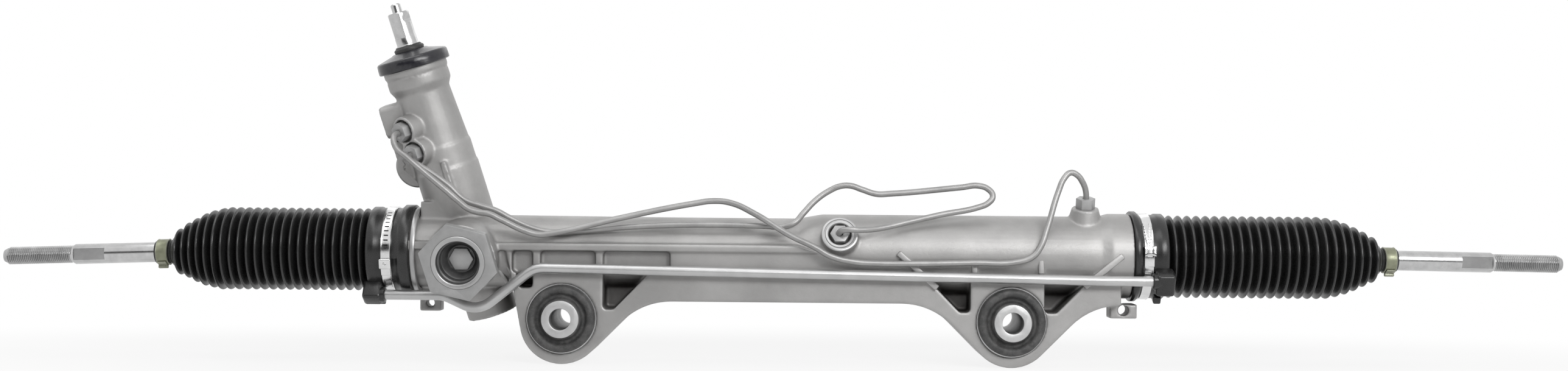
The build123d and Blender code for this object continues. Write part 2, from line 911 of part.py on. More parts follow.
# Yoke group in front of the rack
with BuildPart() as rack_yoke:
    with BuildSketch(yoke_at(yoke_front)):
        Circle(yoke_bore - running_gap)
    extrude(amount=yoke_back - yoke_play - yoke_front)
    with BuildSketch(across(mesh_x - 2 * yoke_bore)):
        Circle(rack_radius + running_gap)
    extrude(amount=4 * yoke_bore, mode=Mode.SUBTRACT)
    with BuildSketch(yoke_at(spring_pocket)):
        Circle(spring_pocket_radius)
    extrude(amount=yoke_back, mode=Mode.SUBTRACT)
save(rack_yoke.part, "rack_yoke")

spring_start = spring_pocket + spring_wire
spring_end = plug_spring_seat - spring_wire
with BuildPart() as yoke_spring:
    with BuildLine() as coil:
        Helix(
            pitch=(spring_end - spring_start) / spring_turns,
            height=spring_end - spring_start,
            radius=spring_radius,
            center=yoke_at(spring_start).origin,
            direction=front_dir,
        )
    with BuildSketch(Plane(coil.line @ 0, z_dir=coil.line % 0)):
        Circle(spring_wire)
    sweep(path=coil.line, is_frenet=True)
save(yoke_spring.part, "yoke_spring")

plug_front = boss_face + hex_thick + plug_stand_out
with BuildPart() as yoke_plug:
    with BuildSketch(yoke_at(yoke_back)):
        Circle(plug_radius)
    extrude(amount=plug_front - yoke_back)
    with BuildSketch(yoke_at(plug_spring_seat)):
        Circle(plug_spring_radius)
    extrude(amount=-plug_spring_seat, mode=Mode.SUBTRACT)
    with BuildSketch(yoke_at(plug_recess)):
        Circle(plug_recess_radius)
    extrude(amount=plug_front, mode=Mode.SUBTRACT)
    with BuildSketch(yoke_at(plug_hex_floor)):
        RegularPolygon(plug_hex_across_flats / 2, 6, major_radius=False)
    extrude(amount=plug_front, mode=Mode.SUBTRACT)
save(yoke_plug.part, "yoke_plug")

with BuildPart() as yoke_lock_nut:
    with BuildSketch(yoke_at(boss_face)):
        RegularPolygon(hex_across_flats / 2, 6, major_radius=False, rotation=hex_turn)
        Circle(plug_radius + seat_gap, mode=Mode.SUBTRACT)
    extrude(amount=hex_thick)
save(yoke_lock_nut.part, "yoke_lock_nut")

# Pinion with involute flanks, turning behind the rack
angle = radians(pressure_angle)
base_radius = pitch_radius * cos(angle)
tip_radius = pitch_radius + (profile_shift + pinion_addendum) * module
root_radius = pitch_radius + (profile_shift - rack_addendum - tip_clearance) * module
tooth_thick = module * (pi / 2 + 2 * profile_shift * tan(angle)) - backlash


def half_tooth(radius):
    # Half angle of a pinion tooth at a radius
    flank = acos(base_radius / radius)
    return tooth_thick / (2 * pitch_radius) + tan(angle) - angle - (tan(flank) - flank)


flank_radius = (base_radius + tip_radius) / 2
with BuildPart() as pinion:
    with BuildSketch(tower_at(-gear_half_width)):
        with BuildLine():
            for tooth in range(pinion_teeth):
                middle = 2 * pi * tooth / pinion_teeth - pi / 2
                following = middle + 2 * pi / pinion_teeth
                Line(
                    on_circle(root_radius, middle - half_tooth(base_radius)),
                    on_circle(base_radius, middle - half_tooth(base_radius)),
                )
                ThreePointArc(
                    on_circle(base_radius, middle - half_tooth(base_radius)),
                    on_circle(flank_radius, middle - half_tooth(flank_radius)),
                    on_circle(tip_radius, middle - half_tooth(tip_radius)),
                )
                ThreePointArc(
                    on_circle(tip_radius, middle - half_tooth(tip_radius)),
                    on_circle(tip_radius, middle),
                    on_circle(tip_radius, middle + half_tooth(tip_radius)),
                )
                ThreePointArc(
                    on_circle(tip_radius, middle + half_tooth(tip_radius)),
                    on_circle(flank_radius, middle + half_tooth(flank_radius)),
                    on_circle(base_radius, middle + half_tooth(base_radius)),
                )
                Line(
                    on_circle(base_radius, middle + half_tooth(base_radius)),
                    on_circle(root_radius, middle + half_tooth(base_radius)),
                )
                ThreePointArc(
                    on_circle(root_radius, middle + half_tooth(base_radius)),
                    on_circle(root_radius, (middle + following) / 2),
                    on_circle(root_radius, following - half_tooth(base_radius)),
                )
        make_face()
    extrude(amount=2 * gear_half_width)
    with BuildSketch(tower_face):
        with BuildLine():
            Polyline(
                (0, -gear_half_width),
                (root_radius, -gear_half_width),
                (lower_journal_radius, lower_bearing_low + lower_bearing_height),
                (lower_journal_radius, lower_journal_end),
                (0, lower_journal_end),
                close=True,
            )
            Polyline(
                (0, gear_half_width),
                (root_radius, gear_half_width),
                (upper_journal_radius, upper_bearing_low - upper_journal_step),
                (upper_journal_radius, upper_bearing_low + upper_bearing_height + upper_journal_step),
                (pinion_head_radius, upper_bearing_low + upper_bearing_height + upper_journal_step),
                (pinion_head_radius, valve_bottom),
                (0, valve_bottom),
                close=True,
            )
        make_face()
    revolve(axis=tower_axis)
    with BuildSketch(tower_at(pinion_socket_low)):
        Circle(pinion_socket_radius)
    extrude(amount=valve_bottom, mode=Mode.SUBTRACT)
    with BuildSketch(tower_at(torsion_bar_low)):
        Circle(torsion_bar_radius + seat_gap)
    extrude(amount=valve_bottom, mode=Mode.SUBTRACT)
save(pinion.part, "pinion")

with BuildPart() as valve_sleeve:
    with BuildSketch(tower_face):
        with BuildLine():
            Polyline(
                (spool_radius + running_gap, valve_bottom),
                (sleeve_outer, valve_bottom),
                (sleeve_outer, valve_top - 1),
                (spool_radius + running_gap, valve_top - 1),
                close=True,
            )
        make_face()
    revolve(axis=tower_axis)
    for ring in range(ring_count):
        with BuildSketch(tower_at(valve_bottom + ring_start + ring * ring_step)):
            Circle(valve_bore)
            Circle(sleeve_outer - ring_groove, mode=Mode.SUBTRACT)
        extrude(amount=ring_height, mode=Mode.SUBTRACT)
save(valve_sleeve.part, "valve_sleeve")

with BuildPart() as sleeve_rings:
    for ring in range(ring_count):
        with BuildSketch(tower_at(valve_bottom + ring_start + ring * ring_step + seat_gap)):
            Circle(valve_bore - running_gap)
            Circle(sleeve_outer - ring_groove + seat_gap, mode=Mode.SUBTRACT)
        extrude(amount=ring_height - 2 * seat_gap)
save(sleeve_rings.part, "sleeve_rings")

with BuildPart() as torsion_bar:
    with BuildSketch(tower_at(torsion_bar_low)):
        Circle(torsion_bar_radius)
    extrude(amount=torsion_bar_length)
save(torsion_bar.part, "torsion_bar")

with BuildPart() as input_shaft:
    with BuildSketch(tower_face):
        with BuildLine():
            Polyline(
                (0, input_spigot_low),
                (input_spigot_radius, input_spigot_low),
                (input_spigot_radius, valve_bottom + 2),
                (spool_radius, valve_bottom + 2),
                (spool_radius, valve_top - 2),
                (input_journal_radius, valve_top),
                (input_journal_radius, input_journal_top),
                (input_radius, input_journal_top + input_journal_step),
                (input_radius, input_flat_low),
                (input_grip_radius, input_flat_low),
                (input_grip_radius, input_end - 1),
                (input_grip_radius - 1, input_end),
                (input_tip_radius, input_end),
                (input_tip_radius, input_tip - 1),
                (input_tip_radius - 1, input_tip),
                (0, input_tip),
                close=True,
            )
        make_face()
    revolve(axis=tower_axis)
    with BuildSketch(tower_at(input_spigot_low)):
        Circle(torsion_bar_radius + wall_gap)
    extrude(amount=torsion_bar_top + torsion_end_gap - input_spigot_low, mode=Mode.SUBTRACT)
    flat_plane = tower_port(input_flat_low, input_flat_turn, input_flat)
    with BuildSketch(flat_plane):
        with BuildLine():
            Polyline(
                (0, -input_radius),
                (input_tip, -input_radius),
                (input_tip, input_radius),
                (0, input_radius),
                close=True,
            )
        make_face()
    extrude(amount=input_radius, mode=Mode.SUBTRACT)
    # Notch for the pinch bolt of the shaft coupling
    notch_centre = flat_plane.origin + tower_dir * pinch_notch_rise - flat_plane.y_dir * pinch_notch_side
    with BuildSketch(Plane(notch_centre, x_dir=tower_dir, z_dir=flat_plane.z_dir)):
        Circle(pinch_notch_radius)
    extrude(amount=2 * input_radius, both=True, mode=Mode.SUBTRACT)
save(input_shaft.part, "input_shaft")

with BuildPart() as pinion_upper_bearing:
    with BuildSketch(tower_at(upper_bearing_low)):
        Circle(valve_bore - seat_gap)
        Circle(upper_journal_radius + running_gap, mode=Mode.SUBTRACT)
    extrude(amount=upper_bearing_height)
save(pinion_upper_bearing.part, "pinion_upper_bearing")

with BuildPart() as input_bearing:
    with BuildSketch(tower_at(valve_top + input_bearing_rise)):
        Circle(valve_bore - seat_gap)
        Circle(input_journal_radius + running_gap, mode=Mode.SUBTRACT)
    extrude(amount=input_bearing_height)
save(input_bearing.part, "input_bearing")

with BuildPart() as input_seal:
    with BuildSketch(tower_at(seal_seat)):
        Circle(seal_seat_radius - seat_gap)
        Circle(input_journal_radius + running_gap, mode=Mode.SUBTRACT)
    extrude(amount=seal_height)
save(input_seal.part, "input_seal")

with BuildPart() as seal_retainer:
    with BuildSketch(tower_at(seal_seat + seal_height)):
        Circle(seal_seat_radius - seat_gap)
        Circle(seal_retainer_bore, mode=Mode.SUBTRACT)
    extrude(amount=seal_retainer_height)
save(seal_retainer.part, "seal_retainer")

# Dust cap over the tower, and the collar that wipes the shaft
with BuildPart() as dust_cap:
    with BuildSketch(tower_face):
        with BuildLine():
            Polyline(
                (tower_head_radius + seat_gap, cap_bottom),
                (cap_radius, cap_bottom),
                (cap_radius - cap_draft, cap_shoulder),
                (cap_neck_radius, cap_top),
                (input_journal_radius + wall_gap, cap_top),
                (input_journal_radius + wall_gap, tower_top + cap_wall_rise),
                (seal_seat_radius, tower_top),
                (tower_head_radius + seat_gap, tower_top),
                close=True,
            )
        make_face()
    revolve(axis=tower_axis)
save(dust_cap.part, "dust_cap")

with BuildPart() as shaft_collar:
    with BuildSketch(tower_face):
        with BuildLine():
            Polyline(
                (input_journal_radius + running_gap, cap_top),
                (collar_radius, cap_top),
                (collar_radius, cap_top + collar_height - collar_chamfer),
                (collar_radius - collar_chamfer, cap_top + collar_height),
                (input_journal_radius + running_gap, cap_top + collar_height),
                close=True,
            )
        make_face()
    revolve(axis=tower_axis)
save(shaft_collar.part, "shaft_collar")

with BuildPart() as pinion_lower_bearing:
    with BuildSketch(tower_at(lower_bearing_low)):
        Circle(bearing_seat_radius - seat_gap)
        Circle(lower_journal_radius + running_gap, mode=Mode.SUBTRACT)
    extrude(amount=lower_bearing_height)
save(pinion_lower_bearing.part, "pinion_lower_bearing")

with BuildPart() as pinion_lock_nut:
    with BuildSketch(tower_at(lower_nut_low)):
        RegularPolygon(lower_nut_across_flats / 2, 6, major_radius=False)
        Circle(lower_journal_radius + seat_gap, mode=Mode.SUBTRACT)
    extrude(amount=lower_nut_height)
save(pinion_lock_nut.part, "pinion_lock_nut")

with BuildPart() as pinion_end_cap:
    with BuildSketch(tower_at(tower_bottom)):
        Circle(end_bore_radius - seat_gap)
    extrude(amount=end_cap_thick)
    with BuildSketch(tower_at(tower_bottom)):
        Circle(end_cap_dish_radius)
    extrude(amount=end_cap_dish, mode=Mode.SUBTRACT)
save(pinion_end_cap.part, "pinion_end_cap")

# Rack bar with teeth parallel to the pinion axis, cut on its rear side
tooth_pitch = pi * module
gap_middle = rack_flat - rack_addendum * module
gap_bottom = gap_middle - (rack_addendum + tip_clearance) * module
gap_top = rack_radius + flank_over
gap_half = (tooth_pitch / 2 + backlash) / 2
gap_bottom_half = gap_half - (gap_middle - gap_bottom) * tan(angle)
gap_top_half = gap_half + (gap_top - gap_middle) * tan(angle)
gap_count = ceil(toothed_half * cos(radians(pinion_tilt)) / tooth_pitch)
with BuildPart() as rack_bar:
    with BuildSketch(across(rack_left_x)):
        Circle(rack_radius)
    extrude(amount=rack_right_x - rack_left_x)
    with BuildSketch(across(rack_left_x - stud_length)):
        Circle(stud_radius)
    extrude(amount=rack_right_x - rack_left_x + 2 * stud_length)
    with BuildSketch(yoke_at(-rack_flat)):
        Rectangle(2 * (toothed_half + flat_margin), 4 * rack_radius)
    extrude(amount=-rack_radius, mode=Mode.SUBTRACT)
    with BuildSketch(Plane(mesh_centre, x_dir=side_dir, z_dir=tower_dir)):
        for gap in range(-gap_count, gap_count + 1):
            with BuildLine():
                Polyline(
                    (gap * tooth_pitch - gap_bottom_half, gap_bottom),
                    (gap * tooth_pitch + gap_bottom_half, gap_bottom),
                    (gap * tooth_pitch + gap_top_half, gap_top),
                    (gap * tooth_pitch - gap_top_half, gap_top),
                    close=True,
                )
            make_face()
    extrude(amount=5 * rack_radius, both=True, mode=Mode.SUBTRACT)
save(rack_bar.part, "rack_bar")

piston_x = (chamber_left_x + chamber_right_x) / 2
with BuildPart() as piston:
    with BuildSketch(across(piston_x - piston_width / 2)):
        Circle(cylinder_bore - running_gap)
        Circle(rack_radius + seat_gap, mode=Mode.SUBTRACT)
    extrude(amount=piston_width)
    with BuildSketch(across(piston_x - ring_width / 2)):
        Circle(cylinder_bore)
        Circle(cylinder_bore - ring_depth, mode=Mode.SUBTRACT)
    extrude(amount=ring_width, mode=Mode.SUBTRACT)
save(piston.part, "piston")

with BuildPart() as piston_ring:
    with BuildSketch(across(piston_x - ring_width / 2 + seat_gap)):
        Circle(cylinder_bore - running_gap / 2)
        Circle(cylinder_bore - ring_depth + seat_gap, mode=Mode.SUBTRACT)
    extrude(amount=ring_width - 2 * seat_gap)
save(piston_ring.part, "piston_ring")

# Seals and bushes round the rack at both ends of the cylinder
with BuildPart() as inner_rack_bush:
    with BuildSketch(across(inner_seat_x)):
        Circle(inner_seat_radius - seat_gap)
        Circle(rack_radius + running_gap, mode=Mode.SUBTRACT)
    extrude(amount=rack_bush_width)
save(inner_rack_bush.part, "inner_rack_bush")

with BuildPart() as inner_rack_seal:
    with BuildSketch(across(inner_seat_x + rack_bush_width)):
        Circle(inner_seat_radius - seat_gap)
        Circle(rack_radius + running_gap, mode=Mode.SUBTRACT)
    extrude(amount=inner_seal_width)
save(inner_rack_seal.part, "inner_rack_seal")

with BuildPart() as outer_rack_seal:
    with BuildSketch(across(chamber_right_x)):
        Circle(bulkhead_radius - seat_gap)
        Circle(rack_radius + running_gap, mode=Mode.SUBTRACT)
    extrude(amount=outer_seal_width)
save(outer_rack_seal.part, "outer_rack_seal")

with BuildPart() as end_bulkhead:
    with BuildSketch(across(bulkhead_x)):
        Circle(bulkhead_radius - seat_gap)
        Circle(rack_radius + running_gap, mode=Mode.SUBTRACT)
    extrude(amount=bulkhead_width)
save(end_bulkhead.part, "end_bulkhead")

with BuildPart() as bulkhead_retainer:
    with BuildSketch(across(right_stop_x - retainer_width)):
        Circle(bulkhead_radius - seat_gap)
        Circle(rack_radius + 2 * lip_gap, mode=Mode.SUBTRACT)
    extrude(amount=retainer_width)
save(bulkhead_retainer.part, "bulkhead_retainer")

# Ball joints, tie rods, boots and clamps of both ends
neck_angle = degrees(asin(rod_neck_radius / (ball_radius + seat_wall)))
mouth_angle = rod_swing + max(left_droop, right_droop) + neck_angle + mouth_clearance
socket_chamfer = 3.0
stud_play = 0.5
seat_opening = 8.0
rod_neck_end = 26.0
rod_full_start = 36.0
thread_chamfer = 2.0
ear_length = 10.0
ear_rise = 3.6
ear_inset = 0.5
left_ear_turn = 20.0
right_ear_turn = -8.0
for side, label in ((left, "left"), (right, "right")):
    ball = side * ball_x(side)
    end = side * end_x(side)
    joint_axis = Axis((ball_x(side), rack_y, rack_z), (1, 0, 0))
    ball_plane = Plane((ball_x(side), rack_y, rack_z), x_dir=(side, 0, 0), z_dir=(0, -side, 0))

    with BuildPart() as ball_socket:
        with BuildSketch(ball_plane):
            with BuildLine():
                Polyline(
                    (-ball_reach, stud_radius + seat_gap),
                    (-ball_reach, socket_radius - stud_play),
                    (-ball_reach + stud_play, socket_radius),
                    (socket_mouth - socket_chamfer, socket_radius),
                    (socket_mouth, socket_radius - socket_chamfer),
                    (socket_mouth, 0),
                    (stud_length - ball_reach + stud_play, 0),
                    (stud_length - ball_reach + stud_play, stud_radius + seat_gap),
                    close=True,
                )
            make_face()
        revolve(axis=joint_axis)
        with BuildSketch(ball_plane):
            with BuildLine():
                CenterArc((0, 0), ball_radius + seat_wall + seat_gap, 0, 180)
                Line((ball_radius + seat_wall + seat_gap, 0), (-ball_radius - seat_wall - seat_gap, 0))
            make_face()
        revolve(axis=joint_axis, mode=Mode.SUBTRACT)
        with BuildSketch(ball_plane):
            with BuildLine():
                Polyline(
                    (0, 0),
                    (ball_reach, ball_reach * tan(radians(mouth_angle))),
                    (ball_reach, 0),
                    close=True,
                )
            make_face()
        revolve(axis=joint_axis, mode=Mode.SUBTRACT)
    save(ball_socket.part, f"{label}_ball_socket")

    with BuildPart() as ball_seat:
        with BuildSketch(ball_plane):
            with BuildLine():
                seat_start = mouth_angle + seat_opening
                outer = CenterArc((0, 0), ball_radius + seat_wall, seat_start, 180 - seat_start)
                inner = CenterArc((0, 0), ball_radius + running_gap, seat_start, 180 - seat_start)
                Line(outer @ 0, inner @ 0)
                Line(outer @ 1, inner @ 1)
            make_face()
        revolve(axis=joint_axis)
    save(ball_seat.part, f"{label}_ball_seat")

    thread_start = rod_length - thread_length
    with BuildPart() as tie_rod:
        with BuildSketch(rod_plane(side)):
            with BuildLine():
                CenterArc((0, 0), ball_radius, 0, 180)
                Line((ball_radius, 0), (-ball_radius, 0))
            make_face()
        revolve(axis=rod_axis(side))
        with BuildSketch(rod_plane(side)):
            with BuildLine():
                Polyline(
                    (0, 0),
                    (0, rod_neck_radius),
                    (rod_neck_end, rod_neck_radius),
                    (rod_full_start, rod_radius),
                    (thread_start - thread_chamfer, rod_radius),
                    (thread_start, thread_radius),
                    (rod_length - thread_chamfer, thread_radius),
                    (rod_length, thread_radius - thread_chamfer),
                    (rod_length, 0),
                    close=True,
                )
            make_face()
        revolve(axis=rod_axis(side))
        for face in (-1, 1):
            with BuildSketch(rod_plane(side).offset(face * flats_across / 2)):
                with BuildLine():
                    Polyline(
                        (thread_start - flats_length, -rod_radius),
                        (thread_start - thread_chamfer, -rod_radius),
                        (thread_start - thread_chamfer, rod_radius),
                        (thread_start - flats_length, rod_radius),
                        close=True,
                    )
                make_face()
            extrude(amount=face * rod_radius, mode=Mode.SUBTRACT)
    save(tie_rod.part, f"{label}_tie_rod")

    # Boot: cuff on the spigot, folds that close in at the outer end, neck on the rod
    lip = lip_start(side)
    folds_start = end + cuff_past_end
    folds_end = ball + neck_reach(side) * cos(radians(droop(side)))
    pitch = (folds_end - folds_start) / fold_count
    crests = []
    for fold in range(fold_count):
        closing = min(1, (fold_count - 1 - fold) / ogive_folds)
        crests.append(boot_small_radius + (boot_radius - boot_small_radius) * sin(closing * pi / 2))
    roots = [boot_radius - fold_depth]
    for before, after in zip(crests, crests[1:]):
        roots.append((before + after) / 2 - fold_depth)
    roots.append(boot_small_radius - fold_depth)
    breather_y = left_breather_y if side == left else right_breather_y
    breather_z = left_breather_z if side == left else right_breather_z
    nipple_out = Vector(0, breather_y - rack_y, breather_z - rack_z)
    nipple_start = end - spigot_inset
    with BuildPart() as boot:
        with BuildSketch(along(side)):
            with BuildLine():
                Polyline(
                    (lip, flange_radius + seat_gap),
                    (lip, lip_radius),
                    (end - spigot_length + lip_overhang, lip_radius),
                    (end - spigot_length + lip_overhang + lip_ramp, cuff_radius),
                    (folds_start - cuff_ramp, cuff_radius),
                    (folds_start, roots[0]),
                )
                for fold in range(fold_count):
                    ThreePointArc(
                        (folds_start + fold * pitch, roots[fold]),
                        (folds_start + (fold + 0.5) * pitch, crests[fold]),
                        (folds_start + (fold + 1) * pitch, roots[fold + 1]),
                    )
                Line((folds_end, roots[-1]), (folds_end, roots[-1] - boot_wall))
                inside = [
                    (folds_start + fold * pitch, roots[fold] - boot_wall) for fold in range(fold_count, 0, -1)
                ]
                Polyline(
                    *inside,
                    (end + cuff_inner_ramp, roots[0] - boot_wall),
                    (end + seat_gap, spigot_radius + seat_gap),
                    (end - spigot_length + seat_gap, spigot_radius + seat_gap),
                    (end - spigot_length + seat_gap, flange_radius + seat_gap),
                    (lip, flange_radius + seat_gap),
                )
            make_face()
        revolve(axis=rack_axis)
        neck_end = neck_reach(side) + neck_length
        with BuildSketch(rod_plane(side)):
            with BuildLine():
                Polyline(
                    (neck_reach(side) - neck_overlap, rod_radius + seat_gap),
                    (neck_reach(side) - neck_overlap, boot_small_radius - fold_depth / 2),
                    (neck_reach(side), boot_small_radius - fold_depth / 2),
                    (neck_reach(side) + neck_ramp, neck_radius),
                    (neck_end, neck_radius),
                    (neck_end, rod_radius + seat_gap),
                    close=True,
                )
            make_face()
        revolve(axis=rod_axis(side))
        # Nipple for the breather tube
        nipple_foot = cuff_radius - boot_wall - nipple_out.length
        nipple_plane = Plane(
            Vector(side * nipple_start, breather_y, breather_z),
            x_dir=nipple_out.normalized(),
            z_dir=(side, 0, 0),
        )
        with BuildSketch(nipple_plane):
            Circle(nipple_radius)
            with BuildLine():
                Polyline(
                    (nipple_foot, -nipple_radius),
                    (0, -nipple_radius),
                    (0, nipple_radius),
                    (nipple_foot, nipple_radius),
                    close=True,
                )
            make_face()
        extrude(amount=nipple_length)
        with BuildSketch(nipple_plane):
            Circle(breather_radius + seat_gap)
        extrude(amount=nipple_length - nipple_end_wall, mode=Mode.SUBTRACT)
    save(boot.part, f"{label}_boot")

    ear_turn = left_ear_turn if side == left else right_ear_turn
    clamp_plane = across(side * (end - clamp_inset) - clamp_width / 2)
    ear_out = Vector(0, -cos(radians(ear_turn)), -sin(radians(ear_turn)))
    with BuildPart() as boot_clamp:
        with BuildSketch(clamp_plane):
            Circle(cuff_radius + seat_gap + clamp_thick)
            Circle(cuff_radius + seat_gap, mode=Mode.SUBTRACT)
        extrude(amount=clamp_width)
        ear_origin = clamp_plane.origin + ear_out * (cuff_radius + ear_inset)
        ear_plane = Plane(ear_origin, x_dir=(1, 0, 0), z_dir=ear_out)
        with BuildSketch(ear_plane):
            with BuildLine():
                Polyline(
                    (ear_inset, -ear_length / 2),
                    (clamp_width - ear_inset, -ear_length / 2),
                    (clamp_width - ear_inset, ear_length / 2),
                    (ear_inset, ear_length / 2),
                    close=True,
                )
            make_face()
        extrude(amount=ear_rise)
        with BuildSketch(clamp_plane.offset(-through_cut)):
            Circle(cuff_radius + seat_gap)
        extrude(amount=clamp_width + 2 * through_cut, mode=Mode.SUBTRACT)
    save(boot_clamp.part, f"{label}_boot_clamp")

    clip_start = neck_reach(side) + neck_length - neck_clamp_width - neck_clamp_inset
    clip_origin = rod_plane(side).origin + rod_plane(side).x_dir * clip_start
    clip_plane = Plane(clip_origin, x_dir=(0, 1, 0), z_dir=rod_plane(side).x_dir)
    clip_outer = neck_radius + seat_gap + neck_clamp_thick
    ear_top = neck_radius + neck_ear_rise
    with BuildPart() as neck_clamp:
        with BuildSketch(clip_plane):
            Circle(clip_outer)
            Circle(neck_radius + seat_gap, mode=Mode.SUBTRACT)
        extrude(amount=neck_clamp_width)
        with BuildSketch(clip_plane.offset(neck_ear_inset)):
            with BuildLine():
                Polyline(
                    (-ear_top, -neck_ear_half),
                    (-clip_outer + neck_clamp_thick / 2, -neck_ear_half),
                    (-clip_outer + neck_clamp_thick / 2, neck_ear_half),
                    (-ear_top, neck_ear_half),
                    close=True,
                )
            make_face()
        extrude(amount=neck_clamp_width - 2 * neck_ear_inset)
    save(neck_clamp.part, f"{label}_neck_clamp")

# Steel lines from the valve to both ends of the cylinder, with their tube nuts
upper_out = tower_port(*upper_port, tower_port_floor + nut_bite)
lower_out = tower_port(*lower_port, tower_port_floor + nut_bite)
left_out = cylinder_port(*left_port, left_port_floor + nut_bite)
right_out = cylinder_port(*right_port, right_port_face + nut_bite)
long_route = [
    tuple(upper_out.origin),
    tuple(upper_out.offset(upper_run).origin),
    *long_bends,
    tuple(right_out.offset(right_run).origin),
    tuple(right_out.origin),
]
short_route = [
    tuple(lower_out.origin),
    tuple(lower_out.offset(lower_run).origin),
    *short_bends,
    tuple(left_out.offset(left_run).origin),
    tuple(left_out.origin),
]
breather_route = [
    (left_end_x + spigot_inset - tube_in_nipple, left_breather_y, left_breather_z),
    (breather_dip_x, left_breather_y, left_breather_z),
    breather_dip,
    (breather_rise_x, right_breather_y, breather_rise_z),
    (right_end_x - 2 * spigot_length, right_breather_y, right_breather_z),
    (right_end_x - spigot_inset + tube_in_nipple, right_breather_y, right_breather_z),
]
pipes = (
    ("long_transfer_line", long_route, line_radius, line_wall, line_bend),
    ("short_transfer_line", short_route, line_radius, line_wall, line_bend),
    ("breather_tube", breather_route, breather_radius, breather_wall, breather_bend),
)
for name, route, outside, wall, bend in pipes:
    with BuildPart() as pipe:
        with BuildLine() as run:
            FilletPolyline(*route, radius=bends(route, bend))
        with BuildSketch(Plane(run.line @ 0, z_dir=run.line % 0)):
            Circle(outside)
            Circle(outside - wall, mode=Mode.SUBTRACT)
        sweep(path=run.line)
    save(pipe.part, name)

with BuildPart() as tube_nuts:
    for plane, height in (
        (upper_out, tower_nut_height),
        (lower_out, tower_nut_height),
        (left_out, nut_height),
        (right_out, nut_height),
    ):
        with BuildSketch(plane.offset(seat_gap - nut_bite)):
            RegularPolygon(nut_across_flats / 2, 6, major_radius=False)
            Circle(line_radius + seat_gap, mode=Mode.SUBTRACT)
        extrude(amount=height)
save(tube_nuts.part, "tube_nuts")
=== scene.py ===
import json
import math

import bpy
from mathutils import Matrix, Vector

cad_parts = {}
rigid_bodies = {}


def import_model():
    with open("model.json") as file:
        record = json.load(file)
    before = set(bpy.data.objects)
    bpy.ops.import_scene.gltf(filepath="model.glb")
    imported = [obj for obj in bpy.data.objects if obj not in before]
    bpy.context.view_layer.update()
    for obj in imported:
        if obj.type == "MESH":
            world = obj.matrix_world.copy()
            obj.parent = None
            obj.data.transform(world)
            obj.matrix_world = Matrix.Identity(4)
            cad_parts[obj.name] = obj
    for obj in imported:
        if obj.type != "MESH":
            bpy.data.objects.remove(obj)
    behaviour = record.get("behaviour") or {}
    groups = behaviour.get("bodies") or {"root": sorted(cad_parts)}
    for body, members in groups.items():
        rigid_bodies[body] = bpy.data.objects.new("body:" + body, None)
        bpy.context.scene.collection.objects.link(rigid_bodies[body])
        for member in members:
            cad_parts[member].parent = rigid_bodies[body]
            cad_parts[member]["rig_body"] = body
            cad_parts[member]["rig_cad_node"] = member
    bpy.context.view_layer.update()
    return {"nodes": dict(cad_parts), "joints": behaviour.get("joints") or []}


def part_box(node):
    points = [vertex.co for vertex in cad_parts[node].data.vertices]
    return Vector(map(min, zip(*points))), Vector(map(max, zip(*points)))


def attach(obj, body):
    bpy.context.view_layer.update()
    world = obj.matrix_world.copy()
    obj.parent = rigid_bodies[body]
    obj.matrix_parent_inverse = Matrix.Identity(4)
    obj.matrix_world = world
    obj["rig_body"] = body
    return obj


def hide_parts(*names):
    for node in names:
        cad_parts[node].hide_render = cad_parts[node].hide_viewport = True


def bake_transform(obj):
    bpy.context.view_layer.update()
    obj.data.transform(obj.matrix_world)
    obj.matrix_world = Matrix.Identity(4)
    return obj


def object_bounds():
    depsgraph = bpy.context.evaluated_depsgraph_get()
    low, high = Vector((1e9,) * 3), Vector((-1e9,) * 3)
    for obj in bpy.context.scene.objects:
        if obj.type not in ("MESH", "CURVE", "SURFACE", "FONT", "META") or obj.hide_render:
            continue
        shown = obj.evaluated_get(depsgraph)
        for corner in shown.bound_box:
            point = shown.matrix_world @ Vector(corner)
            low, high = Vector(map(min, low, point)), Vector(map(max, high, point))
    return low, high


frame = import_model()
nodes = frame["nodes"]
joints = {joint["name"]: joint for joint in frame["joints"]}
mm = 0.001
print("frame loaded:", len(nodes), "nodes")

rackLow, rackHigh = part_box("rack_bar")
rackCentre = (rackLow + rackHigh) / 2
rackAxisPoint = Vector((0, rackCentre.y, rackCentre.z))
leftBall = Vector(joints["left_tie_rod_swing"]["pos_m"])
rightBall = Vector(joints["right_tie_rod_swing"]["pos_m"])
pinionCentre = Vector(joints["pinion_spin"]["pos_m"])
towerDir = Vector(joints["pinion_spin"]["axis"]).normalized()
towerLean = math.radians(9)
frontDir = Vector((0, -math.cos(towerLean), -math.sin(towerLean)))
sideDir = towerDir.cross(frontDir)
yokePoint = Vector((pinionCentre.x, rackCentre.y, rackCentre.z))


# small helpers for working in object and edit mode

def deselectAll():
    if bpy.context.object and bpy.context.object.mode != "OBJECT":
        bpy.ops.object.mode_set(mode="OBJECT")
    bpy.ops.object.select_all(action="DESELECT")


def makeActive(piece):
    deselectAll()
    piece.select_set(True)
    bpy.context.view_layer.objects.active = piece


def editAll(piece, selected=True):
    makeActive(piece)
    bpy.ops.object.mode_set(mode="EDIT")
    bpy.ops.mesh.select_mode(type="VERT")
    bpy.ops.mesh.select_all(action="SELECT" if selected else "DESELECT")


def selectVertices(piece, wanted):  # leaves the piece in edit mode with those vertices selected
    editAll(piece, selected=False)
    bpy.ops.object.mode_set(mode="OBJECT")
    for vertex in piece.data.vertices:
        vertex.select = bool(wanted(vertex.co))
    bpy.ops.object.mode_set(mode="EDIT")


def mergeAndTurnOut(piece, distance=0.00001):
    editAll(piece)
    bpy.ops.mesh.remove_doubles(threshold=distance)
    bpy.ops.mesh.normals_make_consistent(inside=False)
    bpy.ops.object.mode_set(mode="OBJECT")


